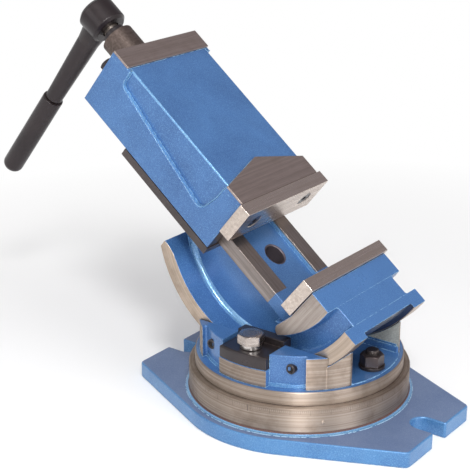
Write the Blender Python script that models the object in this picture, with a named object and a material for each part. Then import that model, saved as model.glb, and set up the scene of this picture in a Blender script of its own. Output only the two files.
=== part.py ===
"""A two-way tilting machine vise with a swivel base.

The base stands on z = 0 with its long side on X. The saddle turns about Z on
the base. The bed, a drum with the fixed jaw on one end, swings in the saddle
about a level line along Y. The moving jaw slides along the bed's own X, and
the screw and its crank turn about a line beside that.

Each of these four lines has its own empty, and each piece hangs on the empty
that it moves with. In the bed's frames x runs towards the fixed jaw and z
points away from the drum. A "near" piece is on the -Y side, a "far" one on +Y.
"""

import math

import bmesh
import bpy

# Clearances and the spare lengths of cutters, in metres
GAP = 0.0003
OVERRUN = 0.006
OVERLAP = 0.004

# How finely the round shapes are divided
TURN_STEPS = 64
SHAFT_STEPS = 24
BOLT_STEPS = 24
SCREW_STEPS = 12
ARC_STEPS = 44
CORNER_STEPS = 4
FULL_TURN = 360

# Size and stance of the whole vise
JAW_WIDTH = 0.125
JAW_OPENING = 0.0738
TILT_AXIS_HEIGHT = 0.1723
TILT_DEGREES = 39

# Heights of the base, each a share of the height of the cradle's floor over the table
BASE_THICKNESS_SHARE = 0.2882
RING_TOP_SHARE = 0.7767
T_SLOT_CEILING_SHARE = 0.5725
T_SLOT_FLOOR_SHARE = 0.3817
PIVOT_END_SHARE = 0.2729
PIVOT_SEAT_SHARE = 0.2290
RIVET_SHARE = 0.5210

# Heights of the saddle and what it carries, each above the cradle's floor
WALL_ROOT_DEPTH = 0.0044
DISC_RISE = 0.0014
END_SLOT_RISE = 0.0022
LEDGE_RISE = 0.0076
SEAT_RISE = 0.0171
SET_SCREW_RISE = 0.0196
HOLD_BOLT_RISE = 0.0201
CLAMP_RISE = 0.0286
SADDLE_RISE = 0.0316
CLAMP_LIP_RISE = 0.0349

# Base plate
BASE_LENGTH = 0.3012
BASE_WIDTH = 0.1094
BASE_ROUND_RADIUS = 0.113
BASE_DRAFT = 0.0014
BASE_EDGE = 0.0014
BASE_CORNER = 0.006
BOLT_SLOT_WIDTH = 0.022
BOLT_SLOT_DEPTH = 0.0276
RING_RADIUS = 0.1035
RING_FLARE = 0.0034
RING_EDGE = 0.0006

# Circular T slot under the saddle, and the pivot in the middle
T_SLOT_RADIUS = 0.079
T_SLOT_MOUTH = 0.013
T_SLOT_HEAD = 0.022
T_SLOT_ENTRY_RADIUS = 0.0125
PIVOT_RADIUS = 0.022

# Small round-headed pin in the side of the ring
RIVET_DEGREES = -43.9
RIVET_HEAD = 0.0064
RIVET_RISE = 0.0015
RIVET_SHANK = 0.0036
RIVET_LENGTH = 0.006

# Saddle
DISC_RADIUS = 0.0977
DISC_EDGE = 0.0014
WALL_RADIUS = 0.093
RECESS_RADIUS = 0.088
RECESS_INNER_X = 0.0262
RECESS_OUTER_X = 0.057
CRADLE_HALF_WIDTH = 0.0605
END_SLOT_HALF_WIDTH = 0.041
END_SLOT_INNER_X = 0.044
LEDGE_WIDTH = 0.0025

# Clamp blocks that hold the drum's rims down, and their bolts
CLAMP_WIDTH = 0.0506
CLAMP_CHAMFER = 0.0025
CLAMP_LIP_REACH = 0.0505
CLAMP_LIP_EDGE = 0.062
CLAMP_SWEEP_DEGREES = 20
CLAMP_BOLT_REACH = 0.0765
CLAMP_BOLT_SIZE = 0.014
CLAMP_BOLT_DEPTH = 0.020
CLAMP_BOLT_FLATS = 0.021
CLAMP_BOLT_HEAD = 0.009
CLAMP_WASHER_SIZE = 0.0195
CLAMP_WASHER_THICKNESS = 0.004

# Socket screws through the saddle's cheeks
SET_SCREW_X = 0.0435
SET_SCREW_SIZE = 0.010
SET_SCREW_REACH = 0.0787
SET_SCREW_SOCKET = 0.005
SET_SCREW_SOCKET_DEPTH = 0.005

# Bolts that hold the saddle on the base
HOLD_BOLT_SIZE = 0.012
HOLD_BOLT_HEAD = 0.020
HOLD_NUT_FLATS = 0.019
HOLD_NUT_HEIGHT = 0.0105
HOLD_WASHER_SIZE = 0.024
HOLD_WASHER_THICKNESS = 0.0025

# Drum of the bed, in the tilting frame whose origin is the tilt axis
BODY_WIDTH = 0.120
DRUM_RADIUS = 0.1196
DRUM_RELIEF = 0.005
RIM_WIDTH = 0.020
GROOVE_OUTER_RADIUS = 0.1048
GROOVE_INNER_RADIUS = 0.0835
GROOVE_DEPTH = 0.015
GROOVE_FROM_DEGREES = -150
GROOVE_TO_DEGREES = 12
WEB_Y = 0.032
WEB_TOP_Z = -0.0616
WEB_CUT_RADIUS = 0.104
WEB_CUT_TO_DEGREES = -45
WEB_CUT_TOP_Z = -0.0575
DRUM_END_X = -0.0735
JAW_TOP_Z = 0.008
JAW_FACE_X = 0.0615
JAW_BREAK_Z = -0.027
JAW_TOE_X = 0.0563
JAW_TOE_Z = -0.052
RAMP_X = 0.047
PAD_BOTTOM_Z = -0.053
PAD_CORNER_X = 0.0574
PAD_CORNER_RADIUS = 0.007

# Slideway of the bed
RAIL_OUTER_Y = 0.042
RAIL_INNER_Y = 0.0244
RAIL_TOP_Z = -0.0386
RAIL_BOTTOM_Z = -0.053
BED_FLOOR_Z = -0.0439
NECK_Y = 0.031
BEAM_BOTTOM_Z = -0.075
BED_REAR_X = -0.165
BED_HOLE_X = -0.001
BED_HOLE_RADIUS = 0.010
CHANNEL_Y = 0.016
CHANNEL_TOP_Z = -0.0616
CHANNEL_FRONT_X = -0.080
CORE_Y = 0.022
CORE_TOP_Z = -0.080
CORE_REAR_X = -0.052
CORE_MIDDLE_X = 0.048
CORE_FRONT_X = 0.082
CORE_FRONT_Z = -0.044

# Jaw plates and their screws
PLATE_THICKNESS = 0.0126
PLATE_TOP_Z = 0.0118
PLATE_BOTTOM_Z = -0.0258
PLATE_EDGE = 0.0007
PLATE_SCREW_Y = 0.039
PLATE_SCREW_Z = -0.0064
PLATE_SCREW_SIZE = 0.008
PLATE_SCREW_HEAD = 0.0158
PLATE_SCREW_CONE = 0.004
PLATE_SCREW_SINK = 0.0004
PLATE_SCREW_DEPTH = 0.012
PLATE_SCREW_SOCKET = 0.005
PLATE_SCREW_SOCKET_DEPTH = 0.0028

# Moving jaw, measured back from its gripping face
CASTING_WIDTH = 0.117
CASTING_REAR = 0.1988
CASTING_TOP_Z = 0.0112
CASTING_PAINT_STEP = 0.002
CASTING_BOTTOM_Z = -0.053
PAD_EDGE_BACK = 0.0338
PAD_POINT_BACK = 0.0508
STRIP_FRONT_BACK = 0.1775
POCKET_INSET = 0.0035
POCKET_REAR_BACK = 0.1738
POCKET_REAR_Z = -0.0084
POCKET_FRONT_BACK = 0.0406
POCKET_FRONT_Z = -0.0312
POCKET_LIP_BACK = 0.0353
POCKET_LIP_Z = -0.0078
POCKET_TOP_BACK = 0.0343
POCKET_CORNER = 0.008
TUNNEL_TOP_Z = -0.002
TUNNEL_FRONT_BACK = 0.0248
TUNNEL_REAR_BACK = 0.1868
SCREW_AXIS_Z = -0.022
BOSS_RADIUS = 0.0165
BOSS_BACK = 0.2348
BOSS_FLARE = 0.004
BOSS_FLARE_LENGTH = 0.005
REAR_BOLT_Y = 0.047
REAR_BOLT_Z = -0.014
REAR_BOLT_SIZE = 0.008
REAR_BOLT_FLATS = 0.013
REAR_BOLT_HEAD = 0.0056
REAR_BOLT_DEPTH = 0.014

# Strips that hook the moving jaw under the rails
KEEPER_INNER_Y = 0.033
KEEPER_THICKNESS = 0.0074
KEEPER_FRONT_BACK = 0.0118
KEEPER_REAR_BACK = 0.1348
KEEPER_SCREW_Y = 0.0505
KEEPER_SCREW_INSET = 0.024
KEEPER_SCREW_SIZE = 0.006
KEEPER_SCREW_HEAD = 0.010
KEEPER_SCREW_HEAD_DEPTH = 0.005
KEEPER_SCREW_DEPTH = 0.012
KEEPER_SCREW_SOCKET = 0.004
KEEPER_SCREW_SOCKET_DEPTH = 0.0025

# Nut block on the bed that the screw runs through
NUT_REAR_X = -0.125
NUT_FRONT_X = -0.092
NUT_WIDTH = 0.040
NUT_TOP_Z = -0.006
NUT_EDGE = 0.003
NUT_SCREW_SPACING = 0.018
NUT_SCREW_SIZE = 0.008
NUT_SCREW_HEAD = 0.013
NUT_SCREW_HEAD_DEPTH = 0.008
NUT_SCREW_DEPTH = 0.011
NUT_SCREW_SOCKET = 0.006
NUT_SCREW_SOCKET_DEPTH = 0.004

# Screw, its collar, and the crank, measured back from the gripping face
SCREW_SIZE = 0.020
SCREW_TIP_BACK = 0.0348
SCREW_TIP_CHAMFER = 0.0015
FLANGE_SIZE = 0.028
FLANGE_THICKNESS = 0.0077
JOURNAL_SIZE = 0.016
COLLAR_SIZE = 0.023
COLLAR_LENGTH = 0.006
COLLAR_EDGE = 0.0008
HUB_FACE_BACK = 0.2448
HUB_LENGTH = 0.028
HUB_SIZE = 0.038
HUB_EDGE = 0.0025
SQUARE_SIZE = 0.0112
SQUARE_END = 0.0012
ROD_ROOT_SIZE = 0.026
ROD_TOP_SIZE = 0.0214
ROD_END_SIZE = 0.0176
ROD_START = 0.012
ROD_NECK = 0.024
ROD_REACH = 0.1126
SPINDLE_SIZE = 0.013
GRIP_WALL = 0.010
GRIP_SIZE = 0.0214
GRIP_REACH = 0.224
GRIP_EDGE = 0.001
GRIP_ROUND = 0.008

# Sizes that follow from those above
FIXED_GRIP_X = JAW_FACE_X - GAP - PLATE_THICKNESS
MOVING_GRIP_X = FIXED_GRIP_X - JAW_OPENING
CASTING_FRONT = PLATE_THICKNESS + GAP
CRADLE_RADIUS = DRUM_RADIUS + GAP
CRADLE_FLOOR = TILT_AXIS_HEIGHT - CRADLE_RADIUS
BASE_THICKNESS = CRADLE_FLOOR * BASE_THICKNESS_SHARE
RING_TOP = CRADLE_FLOOR * RING_TOP_SHARE
T_SLOT_CEILING = CRADLE_FLOOR * T_SLOT_CEILING_SHARE
T_SLOT_FLOOR = CRADLE_FLOOR * T_SLOT_FLOOR_SHARE
PIVOT_END = CRADLE_FLOOR * PIVOT_END_SHARE
PIVOT_SEAT = CRADLE_FLOOR * PIVOT_SEAT_SHARE
RIVET_HEIGHT = CRADLE_FLOOR * RIVET_SHARE
SADDLE_BOTTOM = RING_TOP + GAP
WALL_ROOT = CRADLE_FLOOR - WALL_ROOT_DEPTH
DISC_TOP = CRADLE_FLOOR + DISC_RISE
END_SLOT_FLOOR = CRADLE_FLOOR + END_SLOT_RISE
LEDGE_TOP = CRADLE_FLOOR + LEDGE_RISE
SEAT_HEIGHT = CRADLE_FLOOR + SEAT_RISE
SET_SCREW_HEIGHT = CRADLE_FLOOR + SET_SCREW_RISE
HOLD_BOLT_TOP = CRADLE_FLOOR + HOLD_BOLT_RISE
CLAMP_TOP = CRADLE_FLOOR + CLAMP_RISE
SADDLE_TOP = CRADLE_FLOOR + SADDLE_RISE
CLAMP_LIP_TOP = CRADLE_FLOOR + CLAMP_LIP_RISE
SPINDLE_REACH = GRIP_REACH - GRIP_WALL
HALF_BODY = BODY_WIDTH / 2
GROOVE_FLOOR_Y = HALF_BODY - GROOVE_DEPTH
HALF_CASTING = CASTING_WIDTH / 2

# Colours, metallic share and roughness of the finishes
FINISHES = {
    "blue_paint": ((0.060, 0.175, 0.420), 0.0, 0.38),
    "machined_iron": ((0.42, 0.35, 0.30), 0.9, 0.42),
    "ground_steel": ((0.62, 0.56, 0.54), 1.0, 0.28),
    "black_steel": ((0.045, 0.036, 0.040), 0.7, 0.45),
    "bright_steel": ((0.66, 0.64, 0.62), 1.0, 0.25),
    "bronze": ((0.36, 0.24, 0.12), 0.9, 0.40),
}
SMOOTH_BELOW = math.radians(32)


def clear_scene():
    """Removes every object of the scene that is open."""
    for item in list(bpy.data.objects):
        bpy.data.objects.remove(item)


def add_frame(name, parent, position=(0, 0, 0), turn=(0, 0, 0)):
    """An empty whose origin is an axis of the vise; pieces are parented to it."""
    frame = bpy.data.objects.new(name, None)
    bpy.context.scene.collection.objects.link(frame)
    frame.parent = parent
    frame.location = position
    frame.rotation_euler = turn
    return frame


def add_solid(name, frame, edit):
    """Puts a finished bmesh into the scene as one object that hangs on its frame."""
    bmesh.ops.recalc_face_normals(edit, faces=edit.faces[:])
    mesh = bpy.data.meshes.new(name)
    edit.to_mesh(mesh)
    edit.free()
    solid = bpy.data.objects.new(name, mesh)
    bpy.context.scene.collection.objects.link(solid)
    solid.parent = frame
    return solid


def place(axis, pair, height):
    """A point of an outline drawn across an axis, at a height along that axis."""
    first, second = pair
    if axis == "X":
        return (height, first, second)
    if axis == "Y":
        return (first, height, second)
    return (first, second, height)


def loft(name, frame, loops, ring=False):
    """A solid through loops of equally many points: capped at its ends, or closed into a ring."""
    edit = bmesh.new()
    rows = [[edit.verts.new(point) for point in loop] for loop in loops]
    pairs = list(zip(rows, rows[1:]))
    if ring:
        pairs.append((rows[-1], rows[0]))
    for low, high in pairs:
        for here in range(len(low)):
            there = (here + 1) % len(low)
            edit.faces.new((low[here], low[there], high[there], high[here]))
    if not ring:
        edit.faces.new(rows[0][::-1])
        edit.faces.new(rows[-1])
    return add_solid(name, frame, edit)


def prism(name, frame, outline, span, axis):
    """An outline drawn across an axis and pulled along it over the span."""
    loops = [[place(axis, pair, height) for pair in outline] for height in sorted(span)]
    return loft(name, frame, loops)


def box(name, frame, x_span, y_span, z_span):
    """A block between two values of x, of y and of z."""
    (left, right), (near, far) = sorted(x_span), sorted(y_span)
    outline = [(left, near), (right, near), (right, far), (left, far)]
    return prism(name, frame, outline, z_span, "Z")


def arc(radius, start, end, steps, centre=(0, 0)):
    """Points of a circle from one angle to another, in degrees, with both ends."""
    angles = [math.radians(start + (end - start) * step / steps) for step in range(steps + 1)]
    return [(centre[0] + radius * math.cos(a), centre[1] + radius * math.sin(a)) for a in angles]


def circle(radius, steps, centre=(0, 0)):
    """Points of a whole circle, none of them twice."""
    return arc(radius, 0, FULL_TURN, steps, centre)[:-1]


def cylinder(name, frame, radius, span, axis, centre=(0, 0), steps=BOLT_STEPS):
    """A plain round bar, or the cutter of a round hole."""
    return prism(name, frame, circle(radius, steps, centre), span, axis)


def section(across, sides, steps, centre=(0, 0)):
    """A round outline, with no sides, or a regular one of a width across its flats."""
    points = []
    for step in range(steps):
        angle = 2 * math.pi * step / steps
        radius = across / 2
        if sides:
            share = 2 * math.pi / sides
            radius /= math.cos((angle + share / 2) % share - share / 2)
        points.append((centre[0] + radius * math.cos(angle), centre[1] + radius * math.sin(angle)))
    return points


def stack(name, frame, levels, axis, centre=(0, 0), steps=BOLT_STEPS, ring=False):
    """A bar of round and flat-sided levels, each (height, width across, number of sides)."""
    loops = []
    for height, across, sides in levels:
        outline = section(across, sides, steps, centre)
        loops.append([place(axis, pair, height) for pair in outline])
    return loft(name, frame, loops, ring)


def turned(name, frame, profile, steps=TURN_STEPS, ring=False):
    """A solid of revolution about Z from (radius, height) points, open at the axis or a closed ring."""
    edit = bmesh.new()
    points = [edit.verts.new((radius, 0, height)) for radius, height in profile]
    edges = [edit.edges.new(pair) for pair in zip(points, points[1:])]
    if ring:
        edges.append(edit.edges.new((points[-1], points[0])))
    bmesh.ops.spin(
        edit,
        geom=points + edges,
        cent=(0, 0, 0),
        axis=(0, 0, 1),
        angle=2 * math.pi,
        steps=steps,
        use_merge=True,
    )
    bmesh.ops.remove_doubles(edit, verts=edit.verts[:], dist=GAP / 100)
    return add_solid(name, frame, edit)


def combine(target, tool, operation):
    """Adds a Boolean to the target and hides the tool."""
    change = target.modifiers.new(tool.name, "BOOLEAN")
    change.operation = operation
    change.solver = "EXACT"
    change.object = tool
    tool.hide_render = True
    tool.display_type = "WIRE"


def cut(target, *tools):
    """Takes each tool's space out of the target."""
    for tool in tools:
        combine(target, tool, "DIFFERENCE")


def join(target, *tools):
    """Makes each tool's space part of the target."""
    for tool in tools:
        combine(target, tool, "UNION")


def finish(solid, kind):
    """Gives a piece its own material of one of the named finishes, and smooth round sides."""
    colour, metallic, roughness = FINISHES[kind]
    made = bpy.data.materials.new(solid.name)
    made.use_nodes = True
    shader = made.node_tree.nodes["Principled BSDF"]
    shader.inputs["Base Color"].default_value = (*colour, 1)
    shader.inputs["Metallic"].default_value = metallic
    shader.inputs["Roughness"].default_value = roughness
    solid.data.materials.append(made)
    solid.data.shade_smooth()
    solid.data.set_sharp_from_angle(angle=SMOOTH_BELOW)


def tagged(side):
    """The word for a side: -1 is near and 1 is far."""
    return "near" if side < 0 else "far"


def ended(end):
    """The word for an end: -1 is left and 1 is right."""
    return "left" if end < 0 else "right"


# Base


def base_outline(inset):
    """Plan of the base: two straight ends whose corners run in tangent lines to a round middle."""
    half_length = BASE_LENGTH / 2 - inset
    half_width = BASE_WIDTH / 2 - inset
    radius = BASE_ROUND_RADIUS - inset
    corner = math.atan2(half_width, half_length)
    reach = math.hypot(half_length, half_width)
    tangent = math.degrees(corner + math.acos(radius / reach))
    touch = (radius * math.cos(math.radians(tangent)), radius * math.sin(math.radians(tangent)))
    run = math.hypot(half_length - touch[0], half_width - touch[1])
    share = BASE_CORNER / run
    eased = (
        half_length + (touch[0] - half_length) * share,
        half_width + (touch[1] - half_width) * share,
    )
    quarter = [(half_length, half_width - BASE_CORNER), eased]
    half = quarter + arc(radius, tangent, FULL_TURN / 2 - tangent, ARC_STEPS // 2)
    half += [(-x, y) for x, y in quarter[::-1]]
    return half + [(-x, -y) for x, y in half]


def t_slot_profile():
    """Section of the circular T slot, as a closed outline of (radius, height)."""
    mouth = (T_SLOT_RADIUS - T_SLOT_MOUTH / 2, T_SLOT_RADIUS + T_SLOT_MOUTH / 2)
    head = (T_SLOT_RADIUS - T_SLOT_HEAD / 2, T_SLOT_RADIUS + T_SLOT_HEAD / 2)
    above = RING_TOP + OVERRUN
    return [
        (mouth[0], above),
        (mouth[0], T_SLOT_CEILING),
        (head[0], T_SLOT_CEILING),
        (head[0], T_SLOT_FLOOR),
        (head[1], T_SLOT_FLOOR),
        (head[1], T_SLOT_CEILING),
        (mouth[1], T_SLOT_CEILING),
        (mouth[1], above),
    ]


def bolt_slot(frame, end):
    """Cutter of the open slot in one end of the base."""
    inner = BASE_LENGTH / 2 - BOLT_SLOT_DEPTH + BOLT_SLOT_WIDTH / 2
    outer = BASE_LENGTH / 2 + OVERRUN
    outline = arc(BOLT_SLOT_WIDTH / 2, FULL_TURN / 4, 3 * FULL_TURN / 4, BOLT_STEPS // 2, (inner, 0))
    outline += [(outer, -BOLT_SLOT_WIDTH / 2), (outer, BOLT_SLOT_WIDTH / 2)]
    outline = [(end * x, y) for x, y in outline]
    return prism(f"bolt_slot_cut_{ended(end)}", frame, outline, (-OVERRUN, BASE_THICKNESS + OVERRUN), "Z")


def build_base(frame):
    """The cast plate with its raised ring, T slot, end slots and pivot bore."""
    chamfer_start = BASE_THICKNESS - BASE_EDGE
    levels = [(0, 0), (chamfer_start, BASE_DRAFT), (BASE_THICKNESS, BASE_DRAFT + BASE_EDGE)]
    loops = [[(x, y, height) for x, y in base_outline(inset)] for height, inset in levels]
    base = loft("base_plate", frame, loops)
    ring = turned(
        "ring_join",
        frame,
        [
            (0, BASE_THICKNESS - OVERLAP),
            (RING_RADIUS + RING_FLARE, BASE_THICKNESS - OVERLAP),
            (RING_RADIUS + RING_FLARE, BASE_THICKNESS + RING_EDGE),
            (RING_RADIUS + RING_FLARE / 3, BASE_THICKNESS + RING_FLARE / 2),
            (RING_RADIUS, BASE_THICKNESS + RING_FLARE + RING_EDGE),
            (RING_RADIUS, RING_TOP - RING_EDGE),
            (RING_RADIUS - RING_EDGE, RING_TOP),
            (0, RING_TOP),
        ],
    )
    join(base, ring)
    cut(
        base,
        turned("t_slot_cut", frame, t_slot_profile(), ring=True),
        cylinder(
            "pivot_bore_cut",
            frame,
            PIVOT_RADIUS + GAP,
            (PIVOT_SEAT, RING_TOP + OVERRUN),
            "Z",
            steps=SHAFT_STEPS,
        ),
        cylinder(
            "t_slot_entry_cut",
            frame,
            T_SLOT_ENTRY_RADIUS,
            (-OVERRUN, T_SLOT_FLOOR + OVERLAP),
            "Z",
            (0, T_SLOT_RADIUS),
        ),
        bolt_slot(frame, -1),
        bolt_slot(frame, 1),
    )
    finish(base, "blue_paint")
    spot = add_frame(
        "rivet_spot",
        frame,
        (0, 0, RIVET_HEIGHT),
        (0, 0, math.radians(RIVET_DEGREES)),
    )
    cut(
        base,
        cylinder(
            "rivet_hole_cut",
            spot,
            RIVET_SHANK / 2 + GAP,
            (RING_RADIUS - RIVET_LENGTH - GAP, RING_RADIUS + OVERRUN),
            "X",
            steps=SCREW_STEPS,
        ),
    )
    face = RING_RADIUS + GAP
    rivet = stack(
        "ring_rivet",
        spot,
        [
            (RING_RADIUS - RIVET_LENGTH, RIVET_SHANK, 0),
            (face, RIVET_SHANK, 0),
            (face, RIVET_HEAD, 0),
            (face + RIVET_RISE / 2, RIVET_HEAD * 5 / 6, 0),
            (face + RIVET_RISE, RIVET_HEAD / 2, 0),
        ],
        "X",
        steps=SCREW_STEPS,
    )
    finish(rivet, "bright_steel")


# Saddle and what is fixed to it


def saddle_outline():
    """Plan of the saddle's wall: turned pads with a shallow recess between each two."""
    pad_turn = [math.degrees(math.acos(x / WALL_RADIUS)) for x in (RECESS_INNER_X, RECESS_OUTER_X)]
    low_turn = [math.degrees(math.acos(x / RECESS_RADIUS)) for x in (RECESS_INNER_X, RECESS_OUTER_X)]
    right_angle = FULL_TURN / 4
    quarter = arc(WALL_RADIUS, 0, pad_turn[1], ARC_STEPS // 4)
    quarter += arc(RECESS_RADIUS, low_turn[1], low_turn[0], ARC_STEPS // 8)
    quarter += arc(WALL_RADIUS, pad_turn[0], right_angle, ARC_STEPS // 8)
    half = quarter + [(-x, y) for x, y in quarter[-2::-1]]
    return half + [(-x, -y) for x, y in half[1:-1]]


def build_saddle(frame):
    """The turned disc with a wall around the cradle, clamp seats and end slots."""
    saddle = turned(
        "saddle",
        frame,
        [
            (0, PIVOT_END),
            (PIVOT_RADIUS - RING_EDGE, PIVOT_END),
            (PIVOT_RADIUS, PIVOT_END + RING_EDGE),
            (PIVOT_RADIUS, SADDLE_BOTTOM),
            (DISC_RADIUS, SADDLE_BOTTOM),
            (DISC_RADIUS, DISC_TOP - DISC_EDGE),
            (DISC_RADIUS - DISC_EDGE, DISC_TOP),
            (0, DISC_TOP),
        ],
    )
    join(saddle, prism("wall_join", frame, saddle_outline(), (WALL_ROOT, SADDLE_TOP), "Z"))
    cradle = cylinder(
        "cradle_cut",
        frame,
        CRADLE_RADIUS,
        (-CRADLE_HALF_WIDTH, CRADLE_HALF_WIDTH),
        "Y",
        (0, TILT_AXIS_HEIGHT),
        TURN_STEPS,
    )
    cut(saddle, cradle)
    beyond = WALL_RADIUS + OVERRUN
    above = SADDLE_TOP + OVERRUN
    half_seat = CLAMP_WIDTH / 2 + GAP
    lower_half = END_SLOT_HALF_WIDTH - LEDGE_WIDTH
    for side in (-1, 1):
        word = tagged(side)
        seat_span = (side * (CRADLE_HALF_WIDTH - OVERLAP), side * beyond)
        cut(
            saddle,
            box(f"seat_cut_{word}", frame, (-half_seat, half_seat), seat_span, (SEAT_HEIGHT, above)),
            cylinder(
                f"clamp_bolt_hole_cut_{word}",
                frame,
                CLAMP_BOLT_SIZE / 2 + GAP,
                (SEAT_HEIGHT - CLAMP_BOLT_DEPTH - GAP, above),
                "Z",
                (0, side * CLAMP_BOLT_REACH),
            ),
        )
        for end in (-1, 1):
            cut(
                saddle,
                cylinder(
                    f"set_screw_hole_cut_{word}_{ended(end)}",
                    frame,
                    SET_SCREW_SIZE / 2 + GAP,
                    (side * (CRADLE_HALF_WIDTH - OVERLAP), side * beyond),
                    "Y",
                    (end * SET_SCREW_X, SET_SCREW_HEIGHT),
                ),
            )
    for end in (-1, 1):
        word = ended(end)
        slot_span = (end * END_SLOT_INNER_X, end * beyond)
        cut(
            saddle,
            box(
                f"end_slot_cut_{word}",
                frame,
                slot_span,
                (-END_SLOT_HALF_WIDTH, END_SLOT_HALF_WIDTH),
                (LEDGE_TOP, above),
            ),
            box(
                f"end_slot_floor_cut_{word}",
                frame,
                slot_span,
                (-lower_half, lower_half),
                (END_SLOT_FLOOR, LEDGE_TOP + OVERLAP),
            ),
            cylinder(
                f"hold_bolt_hole_cut_{word}",
                frame,
                HOLD_BOLT_SIZE / 2 + GAP,
                (SADDLE_BOTTOM - OVERRUN, above),
                "Z",
                (end * T_SLOT_RADIUS, 0),
            ),
        )
    finish(saddle, "blue_paint")


def build_clamp(frame, side):
    """One clamp: a block whose lip reaches into the drum's groove, its bolt and washer."""
    word = tagged(side)
    half = CLAMP_WIDTH / 2
    outer = WALL_RADIUS - GAP
    start = math.degrees(math.acos(half / outer))
    levels = [
        (SEAT_HEIGHT - OVERLAP, 0),
        (CLAMP_TOP - CLAMP_CHAMFER, 0),
        (CLAMP_TOP, CLAMP_CHAMFER),
        (CLAMP_LIP_TOP, CLAMP_CHAMFER * 2),
    ]
    loops = []
    for height, inset in levels:
        edge = arc(outer, start, FULL_TURN / 2 - start, ARC_STEPS // 4)
        outline = [(half, CLAMP_LIP_REACH)] + [(x, y - inset) for x, y in edge] + [(-half, CLAMP_LIP_REACH)]
        loops.append([(x, side * y, height) for x, y in outline])
    block = loft(f"clamp_block_{word}", frame, loops)

    # The rim of the drum passes under the lip, and the seat of the saddle under the foot
    rim_side = HALF_BODY + GAP
    lip_radius = GROOVE_OUTER_RADIUS - GAP
    sweep = CLAMP_SWEEP_DEGREES
    low = -FULL_TURN / 4
    under = arc(lip_radius, low - sweep, low + sweep, ARC_STEPS // 2, (0, TILT_AXIS_HEIGHT))
    depth = SEAT_HEIGHT - OVERLAP - OVERRUN
    under += [(under[-1][0], depth), (under[0][0], depth)]
    wide = half + OVERRUN
    cut(
        block,
        prism(
            f"clamp_rim_cut_{word}",
            frame,
            under,
            (side * (CLAMP_LIP_REACH - OVERRUN), side * rim_side),
            "Y",
        ),
        box(
            f"clamp_foot_cut_{word}",
            frame,
            (-wide, wide),
            (side * (rim_side - GAP), side * (WALL_RADIUS + OVERRUN)),
            (depth, SEAT_HEIGHT + GAP),
        ),
        box(
            f"clamp_shelf_cut_{word}",
            frame,
            (-wide, wide),
            (side * CLAMP_LIP_EDGE, side * (WALL_RADIUS + OVERRUN)),
            (CLAMP_TOP, CLAMP_LIP_TOP + OVERRUN),
        ),
        cylinder(
            f"clamp_hole_cut_{word}",
            frame,
            CLAMP_BOLT_SIZE / 2 + GAP,
            (depth, CLAMP_LIP_TOP + OVERRUN),
            "Z",
            (0, side * CLAMP_BOLT_REACH),
        ),
    )
    finish(block, "black_steel")

    spot = (0, side * CLAMP_BOLT_REACH)
    washer_low = CLAMP_TOP + GAP
    washer_top = washer_low + CLAMP_WASHER_THICKNESS
    bore = CLAMP_BOLT_SIZE + 2 * GAP
    washer = stack(
        f"clamp_washer_{word}",
        frame,
        [
            (washer_low, bore, 0),
            (washer_low, CLAMP_WASHER_SIZE, 0),
            (washer_top, CLAMP_WASHER_SIZE, 0),
            (washer_top, bore, 0),
        ],
        "Z",
        spot,
        ring=True,
    )
    finish(washer, "bright_steel")
    head_low = washer_top + GAP
    head_top = head_low + CLAMP_BOLT_HEAD
    bolt = stack(
        f"clamp_bolt_{word}",
        frame,
        [
            (SEAT_HEIGHT - CLAMP_BOLT_DEPTH, CLAMP_BOLT_SIZE - 2 * RING_EDGE, 0),
            (SEAT_HEIGHT - CLAMP_BOLT_DEPTH + RING_EDGE, CLAMP_BOLT_SIZE, 0),
            (head_low, CLAMP_BOLT_SIZE, 0),
            (head_low, CLAMP_BOLT_FLATS, 6),
            (head_top - RING_EDGE * 2, CLAMP_BOLT_FLATS, 6),
            (head_top, CLAMP_BOLT_FLATS - RING_EDGE, 0),
        ],
        "Z",
        spot,
    )
    finish(bolt, "bright_steel")


def build_set_screw(frame, side, end):
    """A headless socket screw through a cheek, with its tip on the drum's side."""
    tip = side * (HALF_BODY + GAP)
    outer = side * SET_SCREW_REACH
    ease = side * RING_EDGE * 2
    screw = stack(
        f"set_screw_{tagged(side)}_{ended(end)}",
        frame,
        [
            (tip, SET_SCREW_SIZE - 4 * RING_EDGE, 0),
            (tip + ease, SET_SCREW_SIZE, 0),
            (outer - ease / 2, SET_SCREW_SIZE, 0),
            (outer, SET_SCREW_SIZE - RING_EDGE, 0),
            (outer, SET_SCREW_SOCKET, 6),
            (outer - side * SET_SCREW_SOCKET_DEPTH, SET_SCREW_SOCKET, 6),
        ],
        "Y",
        (end * SET_SCREW_X, SET_SCREW_HEIGHT),
    )
    finish(screw, "black_steel")


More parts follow.
